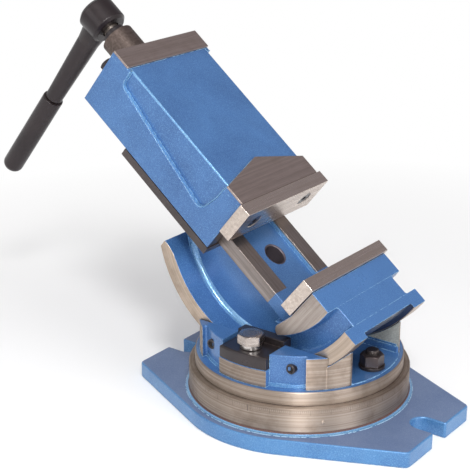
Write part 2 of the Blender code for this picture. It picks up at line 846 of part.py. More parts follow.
def build_hold_down(frame, end):
    """A T bolt from the base's circular slot, with the washer and nut that hold the saddle."""
    word = ended(end)
    spot = (end * T_SLOT_RADIUS, 0)
    head_low = T_SLOT_FLOOR + 2 * GAP
    head_top = T_SLOT_CEILING - GAP
    bolt = stack(
        f"hold_down_bolt_{word}",
        frame,
        [
            (head_low, HOLD_BOLT_HEAD, 4),
            (head_top, HOLD_BOLT_HEAD, 4),
            (head_top, HOLD_BOLT_SIZE, 0),
            (HOLD_BOLT_TOP - RING_EDGE * 2, HOLD_BOLT_SIZE, 0),
            (HOLD_BOLT_TOP, HOLD_BOLT_SIZE - 4 * RING_EDGE, 0),
        ],
        "Z",
        spot,
    )
    finish(bolt, "black_steel")
    bore = HOLD_BOLT_SIZE + 2 * GAP
    washer_low = END_SLOT_FLOOR + GAP
    washer_top = washer_low + HOLD_WASHER_THICKNESS
    washer = stack(
        f"hold_down_washer_{word}",
        frame,
        [
            (washer_low, bore, 0),
            (washer_low, HOLD_WASHER_SIZE, 0),
            (washer_top, HOLD_WASHER_SIZE, 0),
            (washer_top, bore, 0),
        ],
        "Z",
        spot,
        ring=True,
    )
    finish(washer, "black_steel")
    nut_low = washer_top + GAP
    nut_top = nut_low + HOLD_NUT_HEIGHT
    nut = stack(
        f"hold_down_nut_{word}",
        frame,
        [
            (nut_low, bore, 0),
            (nut_low, HOLD_NUT_FLATS, 6),
            (nut_top - RING_EDGE * 2, HOLD_NUT_FLATS, 6),
            (nut_top, HOLD_NUT_FLATS - RING_EDGE, 0),
            (nut_top, bore, 0),
        ],
        "Z",
        spot,
        ring=True,
    )
    finish(nut, "black_steel")


# Bed with the fixed jaw


def drum_outline():
    """Side view of the drum and fixed jaw, as (x, z) in the tilting frame."""
    left = math.degrees(math.acos(DRUM_END_X / DRUM_RADIUS))
    right = math.degrees(math.asin(JAW_TOP_Z / DRUM_RADIUS))
    return arc(DRUM_RADIUS, -left, right, ARC_STEPS) + [
        (JAW_FACE_X, JAW_TOP_Z),
        (JAW_FACE_X, JAW_BREAK_Z),
        (JAW_TOE_X, JAW_TOE_Z),
        (RAMP_X, WEB_TOP_Z),
        (DRUM_END_X, WEB_TOP_Z),
    ]


def bed_outline():
    """Section across the slideway, as (y, z): a beam that carries two rails."""
    half = [
        (NECK_Y, BEAM_BOTTOM_Z),
        (NECK_Y, RAIL_BOTTOM_Z),
        (RAIL_OUTER_Y, RAIL_BOTTOM_Z),
        (RAIL_OUTER_Y, RAIL_TOP_Z),
        (RAIL_INNER_Y, RAIL_TOP_Z),
        (RAIL_INNER_Y, BED_FLOOR_Z),
    ]
    return half + [(-y, z) for y, z in half[::-1]]


def band(inner, outer):
    """Part of a ring as an outline, long enough to pass both ends of the drum."""
    start, end = GROOVE_FROM_DEGREES, GROOVE_TO_DEGREES
    return arc(outer, start, end, ARC_STEPS) + arc(inner, end, start, ARC_STEPS)


def arc_end(radius, height):
    """Angle in degrees at which an arc below the axis comes up to a height on the left."""
    return -math.degrees(math.acos(-math.sqrt(radius**2 - height**2) / radius))


def web_outline():
    """What is cut away beside the web, from the rims' inner wall up to the rails."""
    end = arc_end(WEB_CUT_RADIUS, WEB_CUT_TOP_Z)
    sweep = arc(WEB_CUT_RADIUS, WEB_CUT_TO_DEGREES, end, ARC_STEPS)
    return sweep + [(PAD_CORNER_X + PAD_CORNER_RADIUS, WEB_CUT_TOP_Z)]


def pad_relief_outline():
    """What is set back beside the pad of the fixed jaw, ending inside the groove."""
    middle = (GROOVE_INNER_RADIUS + GROOVE_OUTER_RADIUS) / 2
    start = -math.degrees(math.asin(-PAD_BOTTOM_Z / middle))
    top = PAD_BOTTOM_Z + PAD_CORNER_RADIUS
    end = arc_end(middle, top)
    centre = (PAD_CORNER_X + PAD_CORNER_RADIUS, top)
    corner = arc(PAD_CORNER_RADIUS, FULL_TURN / 2, 3 * FULL_TURN / 4, CORNER_STEPS, centre)
    return arc(middle, start, end, ARC_STEPS) + corner


def core_outline():
    """The foundry core that hollows the drum from below, as (x, z)."""
    beyond = DRUM_RADIUS + OVERRUN
    return [
        (CORE_REAR_X, CORE_TOP_Z),
        (CORE_REAR_X, -beyond),
        (beyond, -beyond),
        (beyond, CORE_FRONT_Z),
        (CORE_FRONT_X, CORE_FRONT_Z),
        (CORE_MIDDLE_X, CORE_TOP_Z),
    ]


def build_body(frame):
    """The bed: drum, rims, grooves, web, slideway and fixed jaw in one casting."""
    body = prism("vise_body", frame, drum_outline(), (-HALF_BODY, HALF_BODY), "Y")
    front = JAW_FACE_X + OVERLAP
    join(body, prism("slideway_join", frame, bed_outline(), (BED_REAR_X, front), "X"))
    middle = HALF_BODY - RIM_WIDTH
    cut(
        body,
        prism(
            "drum_relief_cut",
            frame,
            band(DRUM_RADIUS - DRUM_RELIEF, DRUM_RADIUS + OVERRUN),
            (-middle, middle),
            "Y",
        ),
    )
    outside = HALF_BODY + OVERRUN
    for side in (-1, 1):
        word = tagged(side)
        cut(
            body,
            prism(
                f"groove_cut_{word}",
                frame,
                band(GROOVE_INNER_RADIUS, GROOVE_OUTER_RADIUS),
                (side * GROOVE_FLOOR_Y, side * outside),
                "Y",
            ),
            prism(
                f"pad_relief_cut_{word}",
                frame,
                pad_relief_outline(),
                (side * GROOVE_FLOOR_Y, side * outside),
                "Y",
            ),
            prism(f"web_cut_{word}", frame, web_outline(), (side * WEB_Y, side * outside), "Y"),
            cylinder(
                f"plate_thread_cut_{word}",
                frame,
                PLATE_SCREW_SIZE / 2 + GAP,
                (JAW_FACE_X - OVERRUN, JAW_FACE_X + PLATE_SCREW_DEPTH + OVERLAP),
                "X",
                (side * PLATE_SCREW_Y, PLATE_SCREW_Z),
                steps=SCREW_STEPS,
            ),
        )
    cut(
        body,
        prism("core_cut", frame, core_outline(), (-CORE_Y, CORE_Y), "Y"),
        cylinder(
            "bed_hole_cut",
            frame,
            BED_HOLE_RADIUS,
            (CORE_TOP_Z - OVERRUN, RAIL_TOP_Z + OVERRUN),
            "Z",
            (BED_HOLE_X, 0),
        ),
        box(
            "beam_channel_cut",
            frame,
            (BED_REAR_X - OVERRUN, CHANNEL_FRONT_X),
            (-CHANNEL_Y, CHANNEL_Y),
            (BEAM_BOTTOM_Z - OVERRUN, CHANNEL_TOP_Z),
        ),
    )
    for place_x in nut_screw_places():
        cut(
            body,
            cylinder(
                f"nut_screw_cut_{nut_word(place_x)}",
                frame,
                NUT_SCREW_SIZE / 2 + GAP,
                (CHANNEL_TOP_Z - OVERRUN, RAIL_TOP_Z + OVERRUN),
                "Z",
                (place_x, 0),
                steps=SCREW_STEPS,
            ),
        )
    finish(body, "blue_paint")


def nut_screw_places():
    """Where the nut block's two screws stand along the bed."""
    middle = (NUT_REAR_X + NUT_FRONT_X) / 2
    return (middle - NUT_SCREW_SPACING / 2, middle + NUT_SCREW_SPACING / 2)


def nut_word(place_x):
    """The word for one of the nut block's screws."""
    return "rear" if place_x == min(nut_screw_places()) else "front"


def build_jaw_plate(name, frame, grip_x, facing):
    """A ground plate with two countersunk screws; facing is 1 where it grips towards +x."""
    back_x = grip_x - facing * PLATE_THICKNESS
    half = JAW_WIDTH / 2
    loops = []
    for height, inset in (
        (back_x, PLATE_EDGE),
        (back_x + facing * PLATE_EDGE, 0),
        (grip_x - facing * PLATE_EDGE, 0),
        (grip_x, PLATE_EDGE),
    ):
        outer = half - inset
        low = PLATE_BOTTOM_Z + inset
        high = PLATE_TOP_Z - inset
        loops.append([(height, -outer, low), (height, outer, low), (height, outer, high), (height, -outer, high)])
    plate = loft(name, frame, loops)
    for side in (-1, 1):
        spot = (side * PLATE_SCREW_Y, PLATE_SCREW_Z)
        hole = stack(
            f"{name}_hole_cut_{tagged(side)}",
            frame,
            [
                (grip_x + facing * OVERRUN, PLATE_SCREW_HEAD + 2 * GAP, 0),
                (grip_x - facing * PLATE_SCREW_SINK, PLATE_SCREW_HEAD + 2 * GAP, 0),
                (grip_x - facing * (PLATE_SCREW_CONE + GAP), PLATE_SCREW_SIZE + 2 * GAP, 0),
                (back_x - facing * OVERRUN, PLATE_SCREW_SIZE + 2 * GAP, 0),
            ],
            "X",
            spot,
            steps=SCREW_STEPS,
        )
        cut(plate, hole)
        face = grip_x - facing * PLATE_SCREW_SINK
        screw = stack(
            f"{name}_screw_{tagged(side)}",
            frame,
            [
                (back_x - facing * PLATE_SCREW_DEPTH, PLATE_SCREW_SIZE, 0),
                (grip_x - facing * (PLATE_SCREW_CONE + 2 * GAP), PLATE_SCREW_SIZE, 0),
                (face - facing * GAP, PLATE_SCREW_HEAD, 0),
                (face, PLATE_SCREW_HEAD, 0),
                (face, PLATE_SCREW_SOCKET, 6),
                (face - facing * PLATE_SCREW_SOCKET_DEPTH, PLATE_SCREW_SOCKET, 6),
            ],
            "X",
            spot,
            steps=SCREW_STEPS,
        )
        finish(screw, "black_steel")
    finish(plate, "ground_steel")


def build_lead_nut(frame):
    """The nut block between the rails, with its two screws from below."""
    half = NUT_WIDTH / 2
    low = BED_FLOOR_Z + GAP
    outline = [
        (-half, low),
        (half, low),
        (half, NUT_TOP_Z - NUT_EDGE),
        (half - NUT_EDGE, NUT_TOP_Z),
        (NUT_EDGE - half, NUT_TOP_Z),
        (-half, NUT_TOP_Z - NUT_EDGE),
    ]
    nut = prism("lead_nut", frame, outline, (NUT_REAR_X, NUT_FRONT_X), "X")
    cut(
        nut,
        cylinder(
            "lead_nut_bore_cut",
            frame,
            SCREW_SIZE / 2 + GAP,
            (NUT_REAR_X - OVERRUN, NUT_FRONT_X + OVERRUN),
            "X",
            (0, SCREW_AXIS_Z),
            SHAFT_STEPS,
        ),
    )
    head_top = CHANNEL_TOP_Z - GAP
    head_low = head_top - NUT_SCREW_HEAD_DEPTH
    for place_x in nut_screw_places():
        word = nut_word(place_x)
        cut(
            nut,
            cylinder(
                f"lead_nut_thread_cut_{word}",
                frame,
                NUT_SCREW_SIZE / 2 + GAP,
                (low - OVERRUN, low + NUT_SCREW_DEPTH + GAP),
                "Z",
                (place_x, 0),
                steps=SCREW_STEPS,
            ),
        )
        screw = stack(
            f"lead_nut_screw_{word}",
            frame,
            [
                (low + NUT_SCREW_DEPTH - GAP, NUT_SCREW_SIZE, 0),
                (head_top, NUT_SCREW_SIZE, 0),
                (head_top, NUT_SCREW_HEAD, 0),
                (head_low, NUT_SCREW_HEAD, 0),
                (head_low, NUT_SCREW_SOCKET, 6),
                (head_low + NUT_SCREW_SOCKET_DEPTH, NUT_SCREW_SOCKET, 6),
            ],
            "Z",
            (place_x, 0),
            steps=SCREW_STEPS,
        )
        finish(screw, "black_steel")
    finish(nut, "bronze")


# Moving jaw


def rounded(outline, radius, corners):
    """The outline with the named corners eased by arcs that touch both their sides."""
    points = []
    for here, corner in enumerate(outline):
        if here not in corners:
            points.append(corner)
            continue
        before = outline[here - 1]
        after = outline[(here + 1) % len(outline)]
        to_before = (before[0] - corner[0], before[1] - corner[1])
        to_after = (after[0] - corner[0], after[1] - corner[1])
        lengths = (math.hypot(*to_before), math.hypot(*to_after))
        for step in range(CORNER_STEPS + 1):
            share = step / CORNER_STEPS
            pull_before = radius * (1 - share) ** 2 / lengths[0]
            pull_after = radius * share**2 / lengths[1]
            points.append(
                (
                    corner[0] + to_before[0] * pull_before + to_after[0] * pull_after,
                    corner[1] + to_before[1] * pull_before + to_after[1] * pull_after,
                )
            )
    return points


def side_pocket_outline():
    """The shallow pocket in the casting's side, open at the top, as (x, z)."""
    above = CASTING_TOP_Z + OVERRUN
    outline = [
        (-POCKET_REAR_BACK, above),
        (-POCKET_REAR_BACK, POCKET_REAR_Z),
        (-POCKET_FRONT_BACK, POCKET_FRONT_Z),
        (-POCKET_LIP_BACK, POCKET_LIP_Z),
        (-POCKET_TOP_BACK, above),
    ]
    return rounded(outline, POCKET_CORNER, (1, 2))


def build_moving_jaw(frame):
    """The sliding casting, hollow underneath, with a boss for the screw behind."""
    casting = box(
        "moving_jaw",
        frame,
        (-CASTING_REAR, -CASTING_FRONT),
        (-HALF_CASTING, HALF_CASTING),
        (CASTING_BOTTOM_Z, CASTING_TOP_Z),
    )
    boss_start = TUNNEL_REAR_BACK + OVERLAP
    boss = stack(
        "boss_join",
        frame,
        [
            (-boss_start, 2 * (BOSS_RADIUS + BOSS_FLARE), 0),
            (-CASTING_REAR - RING_EDGE, 2 * (BOSS_RADIUS + BOSS_FLARE), 0),
            (-CASTING_REAR - BOSS_FLARE_LENGTH, 2 * BOSS_RADIUS, 0),
            (-BOSS_BACK + RING_EDGE, 2 * BOSS_RADIUS, 0),
            (-BOSS_BACK, 2 * (BOSS_RADIUS - RING_EDGE), 0),
        ],
        "X",
        (0, SCREW_AXIS_Z),
        SHAFT_STEPS,
    )
    join(casting, boss)

    # Painted top, set down between the machined strip behind and the pointed pad in front
    wide = HALF_CASTING + OVERRUN
    painted = [
        (-STRIP_FRONT_BACK, -wide),
        (-PAD_EDGE_BACK, -wide),
        (-PAD_EDGE_BACK, -HALF_CASTING),
        (-PAD_POINT_BACK, 0),
        (-PAD_EDGE_BACK, HALF_CASTING),
        (-PAD_EDGE_BACK, wide),
        (-STRIP_FRONT_BACK, wide),
    ]
    above = CASTING_TOP_Z + OVERRUN
    rail_side = RAIL_OUTER_Y + GAP
    rail_top = RAIL_TOP_Z + GAP
    cut(
        casting,
        prism("painted_top_cut", frame, painted, (CASTING_TOP_Z - CASTING_PAINT_STEP, above), "Z"),
        box(
            "rail_channel_cut",
            frame,
            (-CASTING_REAR - OVERRUN, OVERRUN - CASTING_FRONT),
            (-rail_side, rail_side),
            (CASTING_BOTTOM_Z - OVERRUN, rail_top),
        ),
        box(
            "tunnel_cut",
            frame,
            (-TUNNEL_REAR_BACK, -TUNNEL_FRONT_BACK),
            (-RAIL_INNER_Y, RAIL_INNER_Y),
            (rail_top - OVERLAP, TUNNEL_TOP_Z),
        ),
        cylinder(
            "journal_cut",
            frame,
            JOURNAL_SIZE / 2 + GAP,
            (-BOSS_BACK - OVERRUN, OVERLAP - TUNNEL_REAR_BACK),
            "X",
            (0, SCREW_AXIS_Z),
            SHAFT_STEPS,
        ),
    )
    for side in (-1, 1):
        word = tagged(side)
        cut(
            casting,
            prism(
                f"side_pocket_cut_{word}",
                frame,
                side_pocket_outline(),
                (side * (HALF_CASTING - POCKET_INSET), side * wide),
                "Y",
            ),
            cylinder(
                f"moving_thread_cut_{word}",
                frame,
                PLATE_SCREW_SIZE / 2 + GAP,
                (-CASTING_FRONT - PLATE_SCREW_DEPTH - OVERLAP, OVERRUN - CASTING_FRONT),
                "X",
                (side * PLATE_SCREW_Y, PLATE_SCREW_Z),
                steps=SCREW_STEPS,
            ),
            cylinder(
                f"rear_bolt_hole_cut_{word}",
                frame,
                REAR_BOLT_SIZE / 2 + GAP,
                (-CASTING_REAR - OVERRUN, -CASTING_REAR + REAR_BOLT_DEPTH + GAP),
                "X",
                (side * REAR_BOLT_Y, REAR_BOLT_Z),
                steps=SCREW_STEPS,
            ),
        )
        for place_x in keeper_screw_places():
            cut(
                casting,
                cylinder(
                    f"keeper_thread_cut_{word}_{keeper_word(place_x)}",
                    frame,
                    KEEPER_SCREW_SIZE / 2 + GAP,
                    (CASTING_BOTTOM_Z - OVERRUN, CASTING_BOTTOM_Z + KEEPER_SCREW_DEPTH + GAP),
                    "Z",
                    (place_x, side * KEEPER_SCREW_Y),
                    steps=SCREW_STEPS,
                ),
            )
    finish(casting, "blue_paint")


def keeper_screw_places():
    """Where the keepers' screws stand along the jaw."""
    return (KEEPER_SCREW_INSET - KEEPER_REAR_BACK, -KEEPER_FRONT_BACK - KEEPER_SCREW_INSET)


def keeper_word(place_x):
    """The word for one of a keeper's screws."""
    return "rear" if place_x == min(keeper_screw_places()) else "front"


def build_keeper(frame, side):
    """A strip screwed under the casting's skirt, reaching in below the rail."""
    word = tagged(side)
    top = RAIL_BOTTOM_Z - GAP
    bottom = top - KEEPER_THICKNESS
    keeper = box(
        f"keeper_strip_{word}",
        frame,
        (-KEEPER_REAR_BACK, -KEEPER_FRONT_BACK),
        (side * KEEPER_INNER_Y, side * HALF_CASTING),
        (bottom, top),
    )
    head_low = bottom + GAP
    head_top = head_low + KEEPER_SCREW_HEAD_DEPTH
    for place_x in keeper_screw_places():
        end_word = keeper_word(place_x)
        spot = (place_x, side * KEEPER_SCREW_Y)
        hole = stack(
            f"keeper_hole_cut_{word}_{end_word}",
            frame,
            [
                (bottom - OVERRUN, KEEPER_SCREW_HEAD + 2 * GAP, 0),
                (head_top + GAP, KEEPER_SCREW_HEAD + 2 * GAP, 0),
                (head_top + GAP, KEEPER_SCREW_SIZE + 2 * GAP, 0),
                (top + OVERRUN, KEEPER_SCREW_SIZE + 2 * GAP, 0),
            ],
            "Z",
            spot,
            steps=SCREW_STEPS,
        )
        cut(keeper, hole)
        screw = stack(
            f"keeper_screw_{word}_{end_word}",
            frame,
            [
                (CASTING_BOTTOM_Z + KEEPER_SCREW_DEPTH, KEEPER_SCREW_SIZE, 0),
                (head_top, KEEPER_SCREW_SIZE, 0),
                (head_top, KEEPER_SCREW_HEAD, 0),
                (head_low, KEEPER_SCREW_HEAD, 0),
                (head_low, KEEPER_SCREW_SOCKET, 6),
                (head_low + KEEPER_SCREW_SOCKET_DEPTH, KEEPER_SCREW_SOCKET, 6),
            ],
            "Z",
            spot,
            steps=SCREW_STEPS,
        )
        finish(screw, "black_steel")
    finish(keeper, "machined_iron")


def build_rear_bolt(frame, side):
    """A short hexagon bolt in the rear face of the moving jaw."""
    face = -CASTING_REAR - GAP
    bolt = stack(
        f"rear_bolt_{tagged(side)}",
        frame,
        [
            (-CASTING_REAR + REAR_BOLT_DEPTH, REAR_BOLT_SIZE, 0),
            (face, REAR_BOLT_SIZE, 0),
            (face, REAR_BOLT_FLATS, 6),
            (face - REAR_BOLT_HEAD + RING_EDGE, REAR_BOLT_FLATS, 6),
            (face - REAR_BOLT_HEAD, REAR_BOLT_FLATS - RING_EDGE, 0),
        ],
        "X",
        (side * REAR_BOLT_Y, REAR_BOLT_Z),
        steps=SCREW_STEPS,
    )
    finish(bolt, "black_steel")


# Screw and crank


def build_screw(frame):
    """The screw with its flange inside the casting and the square for the crank."""
    flange_rear = TUNNEL_REAR_BACK - GAP
    flange_front = flange_rear - FLANGE_THICKNESS
    square_start = HUB_FACE_BACK - GAP
    end = HUB_FACE_BACK + HUB_LENGTH - SQUARE_END
    screw = stack(
        "lead_screw",
        frame,
        [
            (-SCREW_TIP_BACK, SCREW_SIZE - 2 * SCREW_TIP_CHAMFER, 0),
            (-SCREW_TIP_BACK - SCREW_TIP_CHAMFER, SCREW_SIZE, 0),
            (-flange_front, SCREW_SIZE, 0),
            (-flange_front, FLANGE_SIZE, 0),
            (-flange_rear, FLANGE_SIZE, 0),
            (-flange_rear, JOURNAL_SIZE, 0),
            (-square_start, JOURNAL_SIZE, 0),
            (-square_start, SQUARE_SIZE, 4),
            (-end, SQUARE_SIZE, 4),
        ],
        "X",
        steps=SHAFT_STEPS,
    )
    finish(screw, "bright_steel")
    collar_front = BOSS_BACK + GAP
    collar_rear = collar_front + COLLAR_LENGTH
    bore = JOURNAL_SIZE + 2 * GAP
    collar = stack(
        "screw_collar",
        frame,
        [
            (-collar_front, bore, 0),
            (-collar_front, COLLAR_SIZE, 0),
            (COLLAR_EDGE - collar_rear, COLLAR_SIZE, 0),
            (-collar_rear, COLLAR_SIZE - 2 * COLLAR_EDGE, 0),
            (-collar_rear, bore, 0),
        ],
        "X",
        steps=SHAFT_STEPS,
        ring=True,
    )
    finish(collar, "black_steel")


def build_crank(frame):
    """The hub on the screw's square, with a tapered rod down to the grip."""
    front = HUB_FACE_BACK
    rear = HUB_FACE_BACK + HUB_LENGTH
    hub_x = -(front + rear) / 2
    crank = stack(
        "crank_handle",
        frame,
        [
            (-front, HUB_SIZE - 2 * HUB_EDGE, 0),
            (-front - HUB_EDGE, HUB_SIZE, 0),
            (HUB_EDGE - rear, HUB_SIZE, 0),
            (-rear, HUB_SIZE - 2 * HUB_EDGE, 0),
        ],
        "X",
        steps=SHAFT_STEPS,
    )
    rod = stack(
        "rod_join",
        frame,
        [
            (-ROD_START, ROD_ROOT_SIZE, 0),
            (-ROD_NECK, ROD_TOP_SIZE, 0),
            (-ROD_REACH, ROD_END_SIZE, 0),
            (-ROD_REACH, SPINDLE_SIZE, 0),
            (-SPINDLE_REACH, SPINDLE_SIZE, 0),
        ],
        "Z",
        (hub_x, 0),
    )
    join(crank, rod)
    square = stack(
        "crank_square_cut",
        frame,
        [
            (OVERRUN - front, SQUARE_SIZE + 2 * GAP, 4),
            (-rear - OVERRUN, SQUARE_SIZE + 2 * GAP, 4),
        ],
        "X",
    )
    cut(crank, square)
    finish(crank, "black_steel")
    top = ROD_REACH + GAP
    bore = SPINDLE_SIZE + 2 * GAP
    round_start = GRIP_REACH - GRIP_ROUND
    grip_levels = [
        (-SPINDLE_REACH - GAP, bore, 0),
        (-top, bore, 0),
        (-top, GRIP_SIZE - 2 * GRIP_EDGE, 0),
        (-top - GRIP_EDGE, GRIP_SIZE, 0),
    ]
    for step in range(CORNER_STEPS + 1):
        angle = math.radians(step * FULL_TURN / 5 / CORNER_STEPS)
        height = round_start + GRIP_ROUND * math.sin(angle)
        grip_levels.append((-height, GRIP_SIZE - 2 * GRIP_ROUND * (1 - math.cos(angle)), 0))
    grip = stack("crank_grip", frame, grip_levels, "Z", (hub_x, 0))
    finish(grip, "black_steel")


def main():
    """Builds every piece on the empty that it moves with."""
    clear_scene()
    base_frame = add_frame("base_frame", None)
    swivel_axis = add_frame("swivel_axis", base_frame)
    tilt = math.radians(TILT_DEGREES)
    tilt_axis = add_frame("tilt_axis", swivel_axis, (0, 0, TILT_AXIS_HEIGHT), (0, tilt, 0))
    jaw_slide = add_frame("jaw_slide", tilt_axis, (MOVING_GRIP_X, 0, 0))
    screw_axis = add_frame("screw_axis", jaw_slide, (0, 0, SCREW_AXIS_Z))

    build_base(base_frame)
    build_saddle(swivel_axis)
    for side in (-1, 1):
        build_clamp(swivel_axis, side)
        for end in (-1, 1):
            build_set_screw(swivel_axis, side, end)
    for end in (-1, 1):
        build_hold_down(swivel_axis, end)

    build_body(tilt_axis)
    build_jaw_plate("fixed_plate", tilt_axis, FIXED_GRIP_X, -1)
    build_lead_nut(tilt_axis)

    build_moving_jaw(jaw_slide)
    build_jaw_plate("moving_plate", jaw_slide, 0, 1)
    for side in (-1, 1):
        build_keeper(jaw_slide, side)
        build_rear_bolt(jaw_slide, side)

    build_screw(screw_axis)
    build_crank(screw_axis)


main()
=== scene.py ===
"""Looks of a two-way tilting machine vise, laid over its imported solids.

Lengths are metres, Z is up, and the base stands on z = 0 with its long side
on X. The bed is set in its own axes, whose origin is the tilt axis: x runs
towards the fixed jaw, y across the jaws and z away from the drum. The jaw and
the screw use the bed's axes with x measured from the jaw's gripping face.
"""

import logging
import math
from collections.abc import Callable, Sequence
from dataclasses import dataclass, field
from enum import Enum

import bpy
import numpy as np
from mathutils import Matrix

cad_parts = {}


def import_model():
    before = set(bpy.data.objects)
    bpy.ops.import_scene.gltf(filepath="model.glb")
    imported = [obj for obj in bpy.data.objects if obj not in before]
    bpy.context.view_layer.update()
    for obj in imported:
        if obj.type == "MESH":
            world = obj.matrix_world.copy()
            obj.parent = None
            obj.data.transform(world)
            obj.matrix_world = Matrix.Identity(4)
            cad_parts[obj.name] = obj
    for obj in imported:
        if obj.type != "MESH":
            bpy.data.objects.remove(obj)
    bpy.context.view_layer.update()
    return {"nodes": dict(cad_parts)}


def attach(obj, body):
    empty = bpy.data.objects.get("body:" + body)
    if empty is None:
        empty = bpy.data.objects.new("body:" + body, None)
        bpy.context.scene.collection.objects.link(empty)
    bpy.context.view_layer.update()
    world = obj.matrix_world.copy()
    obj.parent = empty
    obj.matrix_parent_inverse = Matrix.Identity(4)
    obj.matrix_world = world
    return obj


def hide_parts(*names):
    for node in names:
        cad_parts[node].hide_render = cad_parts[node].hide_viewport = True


LOG = logging.getLogger("vise_looks")
GAP = 0.0003
Pair = tuple[float, float]
Triple = tuple[float, float, float]
Socket = bpy.types.NodeSocket
Node = bpy.types.Node
Array = np.ndarray

# A rule takes two arrays and returns one
Rule = Callable[[Array, Array], Array]

# A face looks along an axis above this part of its normal, and stands upright below the second
FACING = 0.9
UPRIGHT = 0.3

# Edges that turn more than this stay sharp, and large faces lead the normals by this weight
SHARP_TURN = math.radians(38.0)
FLAT_WEIGHT = 60


class Body(Enum):
    """The rigid bodies that pieces ride on."""

    BASE = "base"
    SWIVEL = "swivel"
    BED = "bed"
    JAW = "jaw"
    SCREW = "screw"


class Slot(Enum):
    """The material slots named on the finishes."""

    PAINT = "blue_paint"
    MACHINED = "machined_iron"
    GROUND = "ground_steel"
    BLACK = "black_steel"
    BRIGHT = "bright_steel"
    BRONZE = "bronze"


class Plane(Enum):
    """The plane that an outline is drawn in; the prism rises along the third axis."""

    XY = (0, 1, 2)
    XZ = (0, 2, 1)
    YZ = (1, 2, 0)


class Lay(Enum):
    """How a cutter's marks lie: round an axis, or in streaks along one."""

    TURNED_X = ("turned", 0)
    TURNED_Y = ("turned", 1)
    TURNED_Z = ("turned", 2)
    MILLED_X = ("milled", 0)
    MILLED_Y = ("milled", 1)
    MILLED_Z = ("milled", 2)


@dataclass(frozen=True)
class Axes:
    """A sub-assembly's own axes, tilted about Y and moved to an origin."""

    origin: Triple = (0.0, 0.0, 0.0)
    tilt: float = 0.0

    def carry(self, points: Array) -> Array:
        """Turns points by the tilt and moves them to the origin.

        Args:
            points: An array whose last axis holds x, y and z.

        Returns:
            The points in the vise's frame.
        """
        c, s = math.cos(math.radians(self.tilt)), math.sin(math.radians(self.tilt))
        return points @ np.array([[c, 0, -s], [0, 1, 0], [s, 0, c]]) + np.array(self.origin)

    def shifted(self, x: float, z: float = 0.0) -> "Axes":
        """The same axes moved along their own x and z."""
        return Axes(tuple(self.carry(np.array([x, 0.0, z])).tolist()), self.tilt)


UP = (0.0, 0.0, 1.0)
ACROSS = (0.0, 1.0, 0.0)
GROUND_AXES = Axes()
BED_AXES = Axes((0.0, 0.0, 0.1723), 39.0)
GRIP_X = -0.0252
SCREW_Z = -0.022
JAW_AXES = BED_AXES.shifted(GRIP_X)
SCREW_AXES = BED_AXES.shifted(GRIP_X, SCREW_Z)


# Shells: points and faces, before they become a mesh


